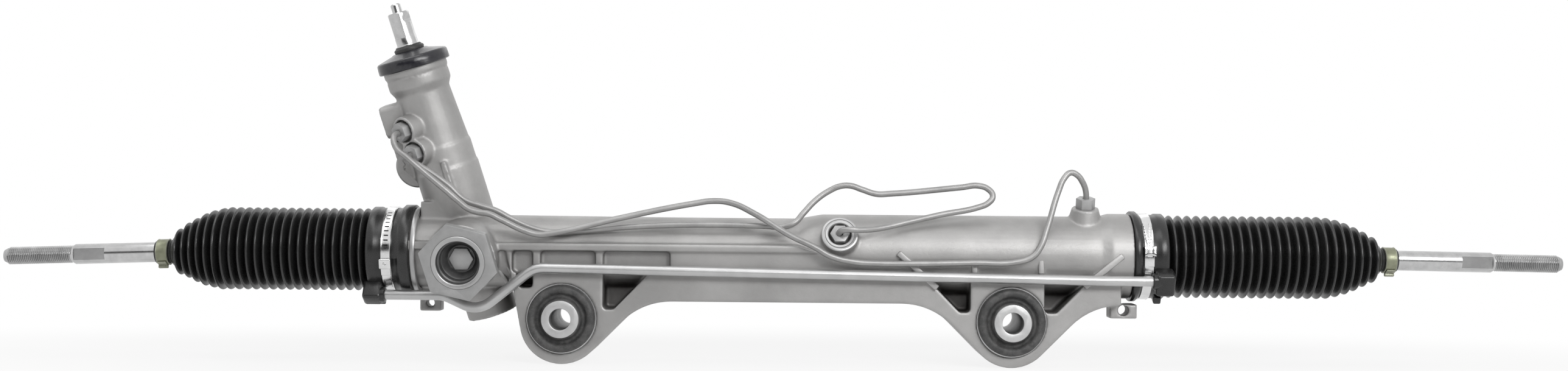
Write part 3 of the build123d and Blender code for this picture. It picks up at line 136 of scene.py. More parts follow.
def applyModifier(piece, kind, **settings):
    makeActive(piece)
    bpy.ops.object.modifier_add(type=kind)
    modifier = piece.modifiers[-1]
    for key, value in settings.items():
        setattr(modifier, key, value)
    bpy.ops.object.modifier_apply(modifier=modifier.name)


def placeMesh(piece):  # puts the object's place into its mesh
    makeActive(piece)
    bpy.ops.object.transform_apply(location=True, rotation=True, scale=True)


def smoothShade(piece, angle=35):
    makeActive(piece)
    bpy.ops.object.shade_smooth_by_angle(angle=math.radians(angle))


def joinPieces(main, others):
    deselectAll()
    for other in others:
        other.select_set(True)
    main.select_set(True)
    bpy.context.view_layer.objects.active = main
    bpy.ops.object.join()


def copyOfNode(nodeName, pieceName):  # a CAD node's shape as a new piece, its loose triangles merged
    source = nodes[nodeName]
    piece = source.copy()
    piece.data = source.data.copy()
    piece.name = pieceName
    piece.parent = None
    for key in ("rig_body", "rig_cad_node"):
        del piece[key]
    bpy.context.scene.collection.objects.link(piece)
    piece.data.materials.clear()
    editAll(piece)
    bpy.ops.mesh.customdata_custom_splitnormals_clear()
    bpy.ops.mesh.remove_doubles(threshold=0.000002)
    bpy.ops.object.mode_set(mode="OBJECT")
    return piece


def turnedProfile(pieceName, points, centre, steps=96, direction=Vector((1, 0, 0))):
    # closed profile of (along, radius) points, drawn by extruding one vertex and spun about the axis
    direction = direction.normalized()
    outward = direction.orthogonal().normalized()
    bpy.ops.object.select_all(action="DESELECT")
    bpy.ops.mesh.primitive_plane_add(size=0.001, location=(0, 0, 0))
    piece = bpy.context.object
    piece.name = pieceName
    bpy.ops.object.mode_set(mode="EDIT")
    bpy.ops.mesh.select_all(action="SELECT")
    bpy.ops.mesh.merge(type="CENTER")
    places = [centre + direction * along + outward * radius for along, radius in points]
    bpy.ops.transform.translate(value=places[0])
    for before, after in zip(places, places[1:] + places[:1]):
        bpy.ops.mesh.extrude_region_move(TRANSFORM_OT_translate={"value": after - before})
    bpy.ops.mesh.select_all(action="SELECT")
    bpy.ops.mesh.remove_doubles(threshold=0.000001)
    bpy.ops.mesh.spin(steps=steps, angle=2 * math.pi, center=centre, axis=direction)
    bpy.ops.mesh.select_all(action="SELECT")
    bpy.ops.mesh.remove_doubles(threshold=0.000002)
    bpy.ops.mesh.normals_make_consistent(inside=False)
    bpy.ops.object.mode_set(mode="OBJECT")
    return piece


def dressPiece(piece, finishName, body, covers=(), angle=35):
    smoothShade(piece, angle)
    paint(piece, finishName)
    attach(piece, body)
    if covers:
        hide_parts(*covers)
    return piece


def bevelledCopy(nodeName, pieceName, width, segments=2, angle=30):  # a CAD node's shape with its edges eased
    piece = copyOfNode(nodeName, pieceName)
    editAll(piece)
    bpy.ops.mesh.dissolve_limited(angle_limit=math.radians(1))
    bpy.ops.object.mode_set(mode="OBJECT")
    applyModifier(piece, "BEVEL", width=width, segments=segments, limit_method="ANGLE",
                  angle_limit=math.radians(angle))
    return piece


def easedBlock(pieceName, centre, size, across, up, ease, segments=3):
    # a block with rounded edges, its own x along "across" and its own z along "up"
    deselectAll()
    bpy.ops.mesh.primitive_cube_add(size=1)
    piece = bpy.context.object
    piece.name = pieceName
    bpy.ops.object.mode_set(mode="EDIT")
    bpy.ops.mesh.select_all(action="SELECT")
    bpy.ops.transform.resize(value=size)
    bpy.ops.mesh.bevel(offset=ease, segments=segments, affect="EDGES")
    bpy.ops.object.mode_set(mode="OBJECT")
    across = across.normalized()
    up = (up - across * up.dot(across)).normalized()
    turn = Matrix((across, up.cross(across), up)).transposed().to_4x4()
    piece.matrix_world = Matrix.Translation(centre) @ turn
    placeMesh(piece)
    return piece


def inMm(points):
    return [(along * mm, radius * mm) for along, radius in points]


# shader groups: broad tone, fine grain, worn edges, settled dust and painted shade in hollows

def newGroup(groupName, inputs, outputs):
    group = bpy.data.node_groups.new(groupName, "ShaderNodeTree")
    for socketName, kind, value in inputs:
        socket = group.interface.new_socket(socketName, in_out="INPUT", socket_type=kind)
        socket.default_value = value
    for socketName, kind in outputs:
        group.interface.new_socket(socketName, in_out="OUTPUT", socket_type=kind)
    entry = group.nodes.new("NodeGroupInput")
    exitNode = group.nodes.new("NodeGroupOutput")
    return group, entry, exitNode


def addNode(tree, kind, **values):
    node = tree.nodes.new(kind)
    for key, value in values.items():
        if key in node.inputs:
            node.inputs[key].default_value = value
        else:
            setattr(node, key, value)
    return node


def wire(tree, *steps):  # each step: a node and its output, the next node and its input
    for source, outName, target, inName in steps:
        tree.links.new(source.outputs[outName], target.inputs[inName])


def addRange(tree, low, high, toLow=0.0, toHigh=1.0):
    node = addNode(tree, "ShaderNodeMapRange")
    for socketName, value in zip(("From Min", "From Max", "To Min", "To Max"), (low, high, toLow, toHigh)):
        node.inputs[socketName].default_value = value
    return node


def addMath(tree, operation, **values):
    return addNode(tree, "ShaderNodeMath", operation=operation, **values)


def addMix(tree):
    return addNode(tree, "ShaderNodeMix", data_type="RGBA")


colourSocket, floatSocket, vectorSocket = "NodeSocketColor", "NodeSocketFloat", "NodeSocketVector"
colourAndMask = [("Colour", colourSocket), ("Mask", floatSocket)]


def coverByMask(group, entry, exitNode, mask, coverName):  # the cover colour laid on where the mask is
    share = addMath(group, "MULTIPLY")
    mix = addMix(group)
    wire(group, (mask, 0, share, 0), (entry, "Amount", share, 1), (share, "Value", mix, "Factor"),
         (entry, "Colour", mix, "A"), (entry, coverName, mix, "B"),
         (mix, "Result", exitNode, "Colour"), (share, "Value", exitNode, "Mask"))


def makeToneGroup():
    group, entry, exitNode = newGroup(
        "broadTone", [("Light", colourSocket, (1, 1, 1, 1)), ("Dark", colourSocket, (0, 0, 0, 1)),
                      ("Scale", floatSocket, 40.0)], colourAndMask)
    place = addNode(group, "ShaderNodeTexCoord")
    cloud = addNode(group, "ShaderNodeTexNoise", Detail=5.0, Roughness=0.55)
    spread = addRange(group, 0.32, 0.68)
    mix = addMix(group)
    wire(group, (place, "Object", cloud, "Vector"), (entry, "Scale", cloud, "Scale"), (cloud, "Fac", spread, "Value"),
         (spread, "Result", mix, "Factor"), (entry, "Dark", mix, "A"), (entry, "Light", mix, "B"),
         (mix, "Result", exitNode, "Colour"), (spread, "Result", exitNode, "Mask"))
    return group


def makeGrainGroup():
    group, entry, exitNode = newGroup(
        "fineGrain", [("Scale", floatSocket, 900.0), ("Stretch", vectorSocket, (1.0, 1.0, 1.0))],
        [("Mask", floatSocket), ("Height", floatSocket)])
    place = addNode(group, "ShaderNodeTexCoord")
    stretch = addNode(group, "ShaderNodeVectorMath", operation="MULTIPLY")
    fine = addNode(group, "ShaderNodeTexNoise", Detail=3.0, Roughness=0.6)
    pits = addNode(group, "ShaderNodeTexNoise", Detail=1.0)
    pitScale = addMath(group, "MULTIPLY")
    pitScale.inputs[1].default_value = 0.23
    pitDepth = addRange(group, 0.28, 0.46)
    both = addMath(group, "MULTIPLY")
    wire(group, (place, "Object", stretch, 0), (entry, "Stretch", stretch, 1), (stretch, "Vector", fine, "Vector"),
         (stretch, "Vector", pits, "Vector"), (entry, "Scale", fine, "Scale"), (entry, "Scale", pitScale, 0),
         (pitScale, "Value", pits, "Scale"), (pits, "Fac", pitDepth, "Value"), (fine, "Fac", both, 0),
         (pitDepth, "Result", both, 1), (fine, "Fac", exitNode, "Mask"), (both, "Value", exitNode, "Height"))
    return group


def makeWearGroup():
    group, entry, exitNode = newGroup(
        "edgeWear", [("Colour", colourSocket, (0.5, 0.5, 0.5, 1)), ("Worn", colourSocket, (0.8, 0.8, 0.8, 1)),
                     ("Amount", floatSocket, 0.5)], colourAndMask)
    shape = addNode(group, "ShaderNodeNewGeometry")
    place = addNode(group, "ShaderNodeTexCoord")
    edge = addRange(group, 0.515, 0.6)
    broken = addNode(group, "ShaderNodeTexNoise", Scale=260.0, Detail=4.0)
    part = addMath(group, "MULTIPLY")
    wire(group, (shape, "Pointiness", edge, "Value"), (place, "Object", broken, "Vector"), (edge, "Result", part, 0),
         (broken, "Fac", part, 1))
    coverByMask(group, entry, exitNode, part, "Worn")
    return group


def makeDustGroup():
    group, entry, exitNode = newGroup(
        "settledDust", [("Colour", colourSocket, (0.5, 0.5, 0.5, 1)), ("Dust", colourSocket, (0.5, 0.48, 0.45, 1)),
                        ("Amount", floatSocket, 0.2), ("Scale", floatSocket, 120.0)], colourAndMask)
    place = addNode(group, "ShaderNodeTexCoord")
    speck = addNode(group, "ShaderNodeTexNoise", Detail=8.0, Roughness=0.7)
    patch = addRange(group, 0.42, 0.72)
    wire(group, (place, "Object", speck, "Vector"), (entry, "Scale", speck, "Scale"), (speck, "Fac", patch, "Value"))
    coverByMask(group, entry, exitNode, patch, "Dust")
    return group


def makeGrimeGroup():  # painted shade: hollows and inside corners darkened by ambient occlusion, broken up by noise
    group, entry, exitNode = newGroup(
        "hollowGrime", [("Colour", colourSocket, (0.5, 0.5, 0.5, 1)), ("Grime", colourSocket, (0.05, 0.045, 0.04, 1)),
                        ("Amount", floatSocket, 0.5), ("Reach", floatSocket, 0.02)], colourAndMask)
    hollow = addNode(group, "ShaderNodeAmbientOcclusion", samples=8, only_local=True)
    place = addNode(group, "ShaderNodeTexCoord")
    cloud = addNode(group, "ShaderNodeTexNoise", Scale=70.0, Detail=4.0)
    depth = addRange(group, 0.72, 0.12)
    uneven = addRange(group, 0.25, 0.6, 0.8)
    part = addMath(group, "MULTIPLY")
    wire(group, (entry, "Reach", hollow, "Distance"), (hollow, "AO", depth, "Value"),
         (place, "Object", cloud, "Vector"), (cloud, "Fac", uneven, "Value"),
         (depth, "Result", part, 0), (uneven, "Result", part, 1))
    coverByMask(group, entry, exitNode, part, "Grime")
    return group


broadTone = makeToneGroup()
fineGrain = makeGrainGroup()
edgeWear = makeWearGroup()
settledDust = makeDustGroup()
hollowGrime = makeGrimeGroup()


def grey(level, warm=0.0):
    return (level * (1 + warm), level, level * (1 - warm), 1)


finishes = {  # light and dark tone, metal, roughness from and to, grain and bump, wear and dust, and painted shade in hollows
    "castAluminium": dict(light=grey(0.43, 0.012), dark=grey(0.345, 0.012), metallic=0.55, rough=(0.42, 0.58),
                          toneScale=26, grain=1500, bump=0.09, worn=grey(0.62), wear=0.6,
                          dust=grey(0.27, 0.03), dustAmount=0.14, shadeColour=(0.026, 0.022, 0.019, 1),
                          shadeAmount=0.95, shadeReach=0.03),
    "machinedAluminium": dict(light=grey(0.46), dark=grey(0.38), metallic=0.6, rough=(0.30, 0.44), toneScale=60,
                              grain=2600, bump=0.06, worn=grey(0.7), wear=0.5, dust=grey(0.3), dustAmount=0.1,
                              shadeColour=(0.035, 0.032, 0.03, 1), shadeAmount=0.8, shadeReach=0.008),
    # a darker copy of the aluminium: painted shade for the yoke plug's recess walls
    "paintedRecessShade": dict(light=grey(0.13), dark=grey(0.07), metallic=0.5, rough=(0.34, 0.5), toneScale=80, grain=1800,
                        bump=0.06, worn=grey(0.4), wear=0.4, dust=grey(0.2), dustAmount=0.1),
    "turnedSteel": dict(light=grey(0.56), dark=grey(0.44), metallic=1.0, rough=(0.20, 0.27), toneScale=90,
                        stretch=(9.0, 1.0, 1.0), grain=700, bump=0.015, worn=grey(0.8), wear=0.4,
                        dust=grey(0.3), dustAmount=0.15),
    "threadSteel": dict(light=grey(0.44), dark=grey(0.32), metallic=1.0, rough=(0.26, 0.40), toneScale=140,
                        grain=1200, bump=0.05, worn=grey(0.75), wear=0.6, dust=grey(0.22), dustAmount=0.2),
    "zincTube": dict(light=grey(0.37, 0.01), dark=grey(0.29, 0.01), metallic=0.55, rough=(0.38, 0.52), toneScale=70,
                     grain=1800, bump=0.05, worn=grey(0.65), wear=0.4, dust=grey(0.28, 0.02), dustAmount=0.15),
    "breatherSilver": dict(light=grey(0.56), dark=grey(0.47), metallic=0.7, rough=(0.28, 0.42), toneScale=60,
                           grain=1600, bump=0.04, worn=grey(0.7), wear=0.3, dust=grey(0.36), dustAmount=0.15),
    "sleeveZinc": dict(light=grey(0.62), dark=grey(0.52), metallic=0.5, rough=(0.38, 0.52), toneScale=90,
                       grain=1500, bump=0.08, worn=grey(0.75), wear=0.5, dust=grey(0.35), dustAmount=0.2,
                       shadeColour=grey(0.012), shadeAmount=0.95, shadeReach=0.02),
    "platedNut": dict(light=grey(0.40), dark=grey(0.34), metallic=0.35, rough=(0.36, 0.5), toneScale=80,
                      grain=1500, bump=0.06, worn=grey(0.6), wear=0.7, dust=grey(0.26), dustAmount=0.15),
    "stainlessBand": dict(light=grey(0.74), dark=grey(0.64), metallic=1.0, rough=(0.12, 0.26), toneScale=120,
                          stretch=(6.0, 1.0, 1.0), grain=900, bump=0.04, worn=grey(0.85), wear=0.4,
                          dust=grey(0.45), dustAmount=0.08),
    "oliveClip": dict(light=(0.30, 0.31, 0.22, 1), dark=(0.20, 0.21, 0.14, 1), metallic=0.55, rough=(0.32, 0.5),
                      toneScale=150, grain=1500, bump=0.05, worn=grey(0.55), wear=0.6,
                      dust=grey(0.3), dustAmount=0.1),
    "bootBlack": dict(light=grey(0.020), dark=grey(0.013), metallic=0.0, rough=(0.24, 0.34), toneScale=90,
                      grain=2200, bump=0.04, worn=grey(0.05), wear=0.5, dust=grey(0.05), dustAmount=0.10,
                      shadeColour=grey(0.002), shadeAmount=0.9, shadeReach=0.012),
    "bushRubber": dict(light=grey(0.055), dark=grey(0.026), metallic=0.0, rough=(0.50, 0.75), toneScale=110,
                       grain=1300, bump=0.18, worn=grey(0.16), wear=0.7, dust=grey(0.20, 0.02), dustAmount=0.5,
                       shadeColour=grey(0.006), shadeAmount=0.9, shadeReach=0.006),
    "capBlack": dict(light=(0.015, 0.015, 0.022, 1), dark=(0.008, 0.008, 0.013, 1), metallic=0.0,
                     rough=(0.15, 0.27), toneScale=90, grain=1500, bump=0.08, worn=grey(0.10), wear=0.5,
                     dust=grey(0.14), dustAmount=0.15),
    "sealRubber": dict(light=grey(0.026), dark=grey(0.015), metallic=0.0, rough=(0.40, 0.6), toneScale=120,
                       grain=1500, bump=0.08, worn=grey(0.08), wear=0.4, dust=grey(0.12), dustAmount=0.15),
    "bearingBronze": dict(light=(0.55, 0.38, 0.17, 1), dark=(0.42, 0.28, 0.12, 1), metallic=0.9, rough=(0.3, 0.45),
                          toneScale=90, grain=1400, bump=0.05, worn=(0.7, 0.55, 0.3, 1), wear=0.4,
                          dust=grey(0.2), dustAmount=0.1),
    "seatPlastic": dict(light=(0.62, 0.59, 0.50, 1), dark=(0.52, 0.49, 0.41, 1), metallic=0.0, rough=(0.35, 0.5),
                        toneScale=90, grain=1300, bump=0.06, worn=grey(0.75), wear=0.3,
                        dust=grey(0.3), dustAmount=0.1),
    "springSteel": dict(light=grey(0.20), dark=grey(0.13), metallic=1.0, rough=(0.3, 0.45), toneScale=120,
                        grain=1500, bump=0.05, worn=grey(0.5), wear=0.5, dust=grey(0.2), dustAmount=0.1),
}


def addGroup(tree, group, **values):
    return addNode(tree, "ShaderNodeGroup", node_tree=group, **values)


def makeFinish(finishName, look):
    material = bpy.data.materials.new(finishName)
    material.use_nodes = True
    tree = material.node_tree
    shader = tree.nodes["Principled BSDF"]
    shader.inputs["Metallic"].default_value = look["metallic"]
    tone = addGroup(tree, broadTone, Light=look["light"], Dark=look["dark"], Scale=look["toneScale"])
    wear = addGroup(tree, edgeWear, Worn=look["worn"], Amount=look["wear"])
    dust = addGroup(tree, settledDust, Dust=look["dust"], Amount=look["dustAmount"])
    grain = addGroup(tree, fineGrain, Scale=look["grain"], Stretch=look.get("stretch", (1.0, 1.0, 1.0)))
    rough = addRange(tree, 0.3, 0.7, *look["rough"])
    bump = addNode(tree, "ShaderNodeBump", Strength=look["bump"], Distance=0.0006)
    wire(tree, (tone, "Colour", wear, "Colour"), (wear, "Colour", dust, "Colour"))
    top = dust
    # painted shade: hollows, recesses and fold valleys darkened towards a near-black colour by ambient occlusion
    if "shadeColour" in look:
        top = addGroup(tree, hollowGrime, Grime=look["shadeColour"], Amount=look["shadeAmount"], Reach=look["shadeReach"])
        wire(tree, (dust, "Colour", top, "Colour"))
    wire(tree, (top, "Colour", shader, "Base Color"), (grain, "Mask", rough, "Value"),
         (rough, "Result", shader, "Roughness"), (grain, "Height", bump, "Height"), (bump, "Normal", shader, "Normal"))
    return material


materials = {name: makeFinish(name, look) for name, look in finishes.items()}
print("finishes made:", len(materials))


def paint(piece, finishName):
    piece.data.materials.clear()
    piece.data.materials.append(materials[finishName])


nodeFinishes = {  # finish of each CAD node, shown or not
    "castAluminium": ["rack_housing"],
    "machinedAluminium": ["yoke_plug", "rack_yoke", "end_bulkhead", "pinion_end_cap"],
    "platedNut": ["yoke_lock_nut", "tube_nuts"],
    "turnedSteel": ["rack_bar", "left_tie_rod", "right_tie_rod", "input_shaft", "pinion", "valve_sleeve",
                    "torsion_bar", "left_ball_socket", "right_ball_socket", "piston", "pinion_lock_nut",
                    "left_bush_shell", "right_bush_shell", "pinion_upper_bearing", "input_bearing",
                    "pinion_lower_bearing"],
    "zincTube": ["long_transfer_line", "short_transfer_line"],
    "sleeveZinc": ["left_bush_sleeve", "right_bush_sleeve"],
    "breatherSilver": ["breather_tube"],
    "stainlessBand": ["left_boot_clamp", "right_boot_clamp", "bulkhead_retainer", "seal_retainer"],
    "oliveClip": ["left_neck_clamp", "right_neck_clamp"],
    "bootBlack": ["left_boot", "right_boot"],
    "bushRubber": ["left_bush_rubber", "right_bush_rubber"],
    "capBlack": ["dust_cap"],
    "sealRubber": ["shaft_collar", "input_seal", "inner_rack_seal", "outer_rack_seal"],
    "bearingBronze": ["inner_rack_bush"],
    "seatPlastic": ["left_ball_seat", "right_ball_seat", "sleeve_rings", "piston_ring"],
    "springSteel": ["yoke_spring"],
}
for finishName, members in nodeFinishes.items():
    for nodeName in members:
        paint(nodes[nodeName], finishName)
print("nodes painted:", sum(len(members) for members in nodeFinishes.values()))


# housing: the cast shape with its corners run together as metal does in a mould
housing = dict(voxel=1.15 * mm, smoothTimes=3, smoothFactor=0.5, mostTriangles=195000)


def makeHousing():
    piece = copyOfNode("rack_housing", "housingCasting")
    applyModifier(piece, "REMESH", mode="VOXEL", voxel_size=housing["voxel"])
    applyModifier(piece, "SMOOTH", factor=housing["smoothFactor"], iterations=housing["smoothTimes"])
    applyModifier(piece, "TRIANGULATE")
    triangles = len(piece.data.polygons)
    if triangles > housing["mostTriangles"]:
        applyModifier(piece, "DECIMATE", ratio=housing["mostTriangles"] / triangles)
    dressPiece(piece, "castAluminium", "housing", ["rack_housing"], 60)
    print("housing casting:", triangles, "triangles before thinning,", len(piece.data.polygons), "after")


makeHousing()


# boots: cuff, folds and neck, split where the fold ring sits over the rack end
boot = dict(folds=23, crest=33.0 * mm, smallCrest=18.5 * mm, depth=6.2 * mm, ogiveFolds=6, wall=1.2 * mm,
            cuff=33.5 * mm, lip=36.2 * mm, neck=9.4 * mm, rod=8.05 * mm, neckLength=16 * mm, spigot=25 * mm,
            seat=30.1 * mm, cuffPastEnd=4 * mm, steps=96)
bootSides = {
    "left": dict(sign=-1, ball=leftBall, end=330 * mm, neckReach=97 * mm, droop=1.9, blendLength=110 * mm,
                 lipInset=32 * mm, lipWidth=7.8 * mm, lipSeat=34.1 * mm),
    "right": dict(sign=1, ball=rightBall, end=299 * mm, neckReach=86 * mm, droop=0.8, blendLength=120 * mm,
                  lipInset=24.5 * mm, lipWidth=4.2 * mm, lipSeat=30.1 * mm),
}


def foldPoints(start, pitch, lowBefore, crest, lowAfter):  # narrow rounded ridge between two wide valleys
    shares = [0.0, 0.1, 0.19, 0.27, 0.34, 0.40, 0.45, 0.5]
    rise = [(share, (1 - (1 - 2 * share) ** 2) ** 1.7) for share in shares]
    points = [(start + share * pitch, lowBefore + (crest - lowBefore) * up) for share, up in rise]
    points += [(start + (1 - share) * pitch, lowAfter + (crest - lowAfter) * up) for share, up in reversed(rise[1:-1])]
    return points


def makeBoot(sideName):
    side = bootSides[sideName]
    sign = side["sign"]
    end = side["end"]
    along = Vector((sign, 0, 0))
    foldsStart = end + boot["cuffPastEnd"]
    foldsEnd = abs(side["ball"].x) + side["neckReach"]
    pitch = (foldsEnd - foldsStart) / boot["folds"]
    crests = []
    for fold in range(boot["folds"]):
        closing = min(1, (boot["folds"] - 1 - fold) / boot["ogiveFolds"])
        crests.append(boot["smallCrest"] + (boot["crest"] - boot["smallCrest"]) * math.sin(closing * math.pi / 2))
    lows = [boot["crest"] - boot["depth"]]
    for before, after in zip(crests, crests[1:]):
        lows.append((before + after) / 2 - boot["depth"])
    lows.append(boot["smallCrest"] - boot["depth"])
    splitFold = round(side["blendLength"] / pitch)
    splitAt = foldsStart + splitFold * pitch
    lipAt = end - side["lipInset"]
    lipEnd = lipAt + side["lipWidth"]

    outer = [(lipAt, side["lipSeat"]), (lipAt, boot["lip"] - 0.6 * mm), (lipAt + 0.6 * mm, boot["lip"]),
             (lipEnd, boot["lip"]), (lipEnd + 1.2 * mm, boot["lip"] - 1.2 * mm), (lipEnd + 3.2 * mm, boot["cuff"]),
             (end - 6 * mm, boot["cuff"]),
             (end - 4.5 * mm, boot["cuff"] + 0.9 * mm), (foldsStart - 3.0 * mm, boot["cuff"] + 0.9 * mm),
             (foldsStart - 1.6 * mm, boot["cuff"] - 0.4 * mm)]
    inner = [(end + 3 * mm, lows[0] - boot["wall"]), (end, boot["seat"])]
    if lipAt < end - boot["spigot"]:
        inner += [(end - boot["spigot"], boot["seat"]), (end - boot["spigot"], side["lipSeat"])]
    for fold in range(splitFold):
        outer += foldPoints(foldsStart + fold * pitch, pitch, lows[fold], crests[fold], lows[fold + 1])
    outer.append((splitAt, lows[splitFold]))
    back = [(foldsStart + fold * pitch, lows[fold] - boot["wall"]) for fold in range(splitFold, 0, -1)]
    body = turnedProfile(f"{sideName}BootFolds", outer + back + inner, rackAxisPoint, boot["steps"], along)
    paint(body, "bootBlack")
    smoothShade(body, 50)
    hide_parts(f"{sideName}_boot")

    outer = []
    for fold in range(splitFold, boot["folds"]):
        outer += foldPoints(foldsStart + fold * pitch, pitch, lows[fold], crests[fold], lows[fold + 1])
    neckEnd = foldsEnd + boot["neckLength"]
    outer += [(foldsEnd, lows[-1]), (foldsEnd + 1.2 * mm, lows[-1] - 0.6 * mm),
              (foldsEnd + 2.2 * mm, boot["neck"] + 1 * mm), (foldsEnd + 3.4 * mm, boot["neck"]),
              (neckEnd - 0.8 * mm, boot["neck"]), (neckEnd, boot["neck"] - 0.5 * mm)]
    back = [(neckEnd, boot["rod"]), (foldsEnd, boot["rod"])]
    back += [(foldsStart + fold * pitch, lows[fold] - boot["wall"]) for fold in range(boot["folds"], splitFold - 1, -1)]
    neck = turnedProfile(f"{sideName}BootNeck", outer + back, rackAxisPoint, boot["steps"], along)
    for share in (0.2, 0.5, 0.8):  # the end folds lean after the rod in three small turns
        turnAt = splitAt + (foldsEnd - splitAt) * share
        selectVertices(neck, lambda place: place.x * sign > turnAt)
        bpy.ops.transform.rotate(
            value=-sign * math.radians(side["droop"]) / 3, orient_axis="Y", orient_type="GLOBAL",
            center_override=(side["ball"].x, rackCentre.y, rackCentre.z))
        bpy.ops.object.mode_set(mode="OBJECT")
    paint(neck, "bootBlack")
    smoothShade(neck, 50)
    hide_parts(f"{sideName}_boot")

    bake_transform(body)
    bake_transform(neck)
    print(sideName, "boot:", len(body.data.polygons) + len(neck.data.polygons), "faces")


for sideName in bootSides:
    makeBoot(sideName)


# tie rods: the turned rod with a real thread wound on its outer end
rod = dict(length=235 * mm, threadLength=55 * mm, crest=7.0 * mm, root=6.15 * mm, pitch=1.5 * mm, steps=40)


def rodOutward(side):
    lean = math.radians(side["droop"])
    return Vector((side["sign"] * math.cos(lean), 0, -math.sin(lean)))


def makeTieRod(sideName):
    side = bootSides[sideName]
    outward = rodOutward(side)
    threadStart = side["ball"] + outward * (rod["length"] - rod["threadLength"])
    piece = copyOfNode(f"{sideName}_tie_rod", f"{sideName}TieRod")
    editAll(piece)
    bpy.ops.mesh.bisect(plane_co=threadStart, plane_no=outward, clear_outer=True, use_fill=True)
    bpy.ops.object.mode_set(mode="OBJECT")
    paint(piece, "turnedSteel")

    turns = int((rod["threadLength"] - 3 * mm) / rod["pitch"])
    deselectAll()
    bpy.ops.mesh.primitive_circle_add(vertices=3, radius=rod["crest"])
    thread = bpy.context.object
    thread.name = f"{sideName}ThreadTurns"
    for vertex, (out, up) in zip(thread.data.vertices, ((rod["root"], 0), (rod["crest"], rod["pitch"] / 2),
                                                        (rod["root"], rod["pitch"]))):
        vertex.co = (out, 0, up)
    editAll(thread, selected=False)
    bpy.ops.object.mode_set(mode="OBJECT")
    for edge in thread.data.edges:
        edge.select = sorted(edge.vertices) == [0, 2]
    bpy.ops.object.mode_set(mode="EDIT")
    bpy.ops.mesh.select_mode(type="EDGE")
    bpy.ops.mesh.delete(type="EDGE")
    bpy.ops.object.mode_set(mode="OBJECT")
    applyModifier(thread, "SCREW", axis="Z", angle=2 * math.pi, screw_offset=rod["pitch"], iterations=turns,
                  steps=rod["steps"], render_steps=rod["steps"], use_merge_vertices=True, use_smooth_shade=False)
    mergeAndTurnOut(thread)

    coreEnd = rod["threadLength"]
    core = turnedProfile(
        f"{sideName}ThreadCore",
        [(0, 0.2 * mm), (0, rod["root"]), (coreEnd - 2.6 * mm, rod["root"]),
         (coreEnd - 2.0 * mm, rod["root"] - 0.3 * mm), (coreEnd, rod["root"] - 1.3 * mm), (coreEnd, 0.2 * mm)],
        Vector((0, 0, 0)), 48, Vector((0, 0, 1)))
    joinPieces(thread, [core])
    thread.matrix_world = Matrix.Translation(threadStart) @ outward.to_track_quat("Z", "Y").to_matrix().to_4x4()
    placeMesh(thread)
    paint(thread, "threadSteel")
    joinPieces(piece, [thread])
    smoothShade(piece, 32)
    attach(piece, f"{sideName}_rod")
    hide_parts(f"{sideName}_tie_rod")
    print(sideName, "tie rod:", turns, "thread turns")


for sideName in bootSides:
    makeTieRod(sideName)


# breather nipples: thick rubber ends moulded on the cuffs, where the breather pipe plugs in
nipple = dict(length=15 * mm, inner=31 * mm, outer=47 * mm, ease=2.6 * mm)
nippleSides = {
    "left": dict(mouth=320.5 * mm, low=-7.5 * mm, high=6.5 * mm),
    "right": dict(mouth=289.5 * mm, low=-11.5 * mm, high=7.0 * mm),
}
breatherLow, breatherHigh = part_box("breather_tube")


def breatherEnd(sign):  # centre of the breather pipe at one end, read from its mesh
    ends = [vertex.co for vertex in nodes["breather_tube"].data.vertices
            if (vertex.co.x - (breatherLow.x if sign < 0 else breatherHigh.x)) * -sign < 0.5 * mm]
    return sum(ends, Vector()) / len(ends)


def makeNipple(sideName):
    side = nippleSides[sideName]
    sign = bootSides[sideName]["sign"]
    pipe = breatherEnd(sign)
    outward = Vector((0, pipe.y - rackCentre.y, pipe.z - rackCentre.z)).normalized()
    around = Vector((sign, 0, 0)).cross(outward) * sign
    if around.z < 0:
        around = -around
    middle = (nipple["inner"] + nipple["outer"]) / 2
    centre = rackAxisPoint + outward * middle + around * (side["low"] + side["high"]) / 2
    centre.x = sign * (side["mouth"] + nipple["length"] / 2)
    piece = easedBlock(f"{sideName}BreatherNipple", centre,
                       (nipple["length"], side["high"] - side["low"], nipple["outer"] - nipple["inner"]),
                       Vector((1, 0, 0)), outward, nipple["ease"])
    mouth = turnedProfile(
        f"{sideName}NippleMouth",
        inMm([(-2.6, 4.05), (-2.6, 5.4), (-2.0, 6.2), (0.6, 6.3), (2.5, 5.6), (4.0, 5.4), (4.0, 4.05)]),
        Vector((sign * side["mouth"], pipe.y, pipe.z)), 40, Vector((sign, 0, 0)))
    tab = easedBlock(f"{sideName}NippleTab", centre + around * (side["low"] - 3.4 * mm) - Vector((sign * 5 * mm, 0, 0)),
                     (6 * mm, 6 * mm, 7 * mm), Vector((1, 0, 0)), outward, 1.2 * mm)
    joinPieces(piece, [mouth, tab])
    dressPiece(piece, "bootBlack", "housing", angle=50)
    print(sideName, "breather nipple at", [round(value, 4) for value in pipe])


for sideName in nippleSides:
    makeNipple(sideName)


# boot clamps: stainless bands, slotted on the left and pinched in an ear on the right
clamp = dict(halfWidth=4 * mm, inner=33.58 * mm, outer=34.75 * mm, inset=14 * mm, steps=128)


def atAngle(x, angle, radius):  # a point round the rack, its angle counted up from the front
    return Vector((x, rackCentre.y - radius * math.cos(math.radians(angle)),
                   rackCentre.z + radius * math.sin(math.radians(angle))))


def outAt(angle):
    return Vector((0, -math.cos(math.radians(angle)), math.sin(math.radians(angle))))


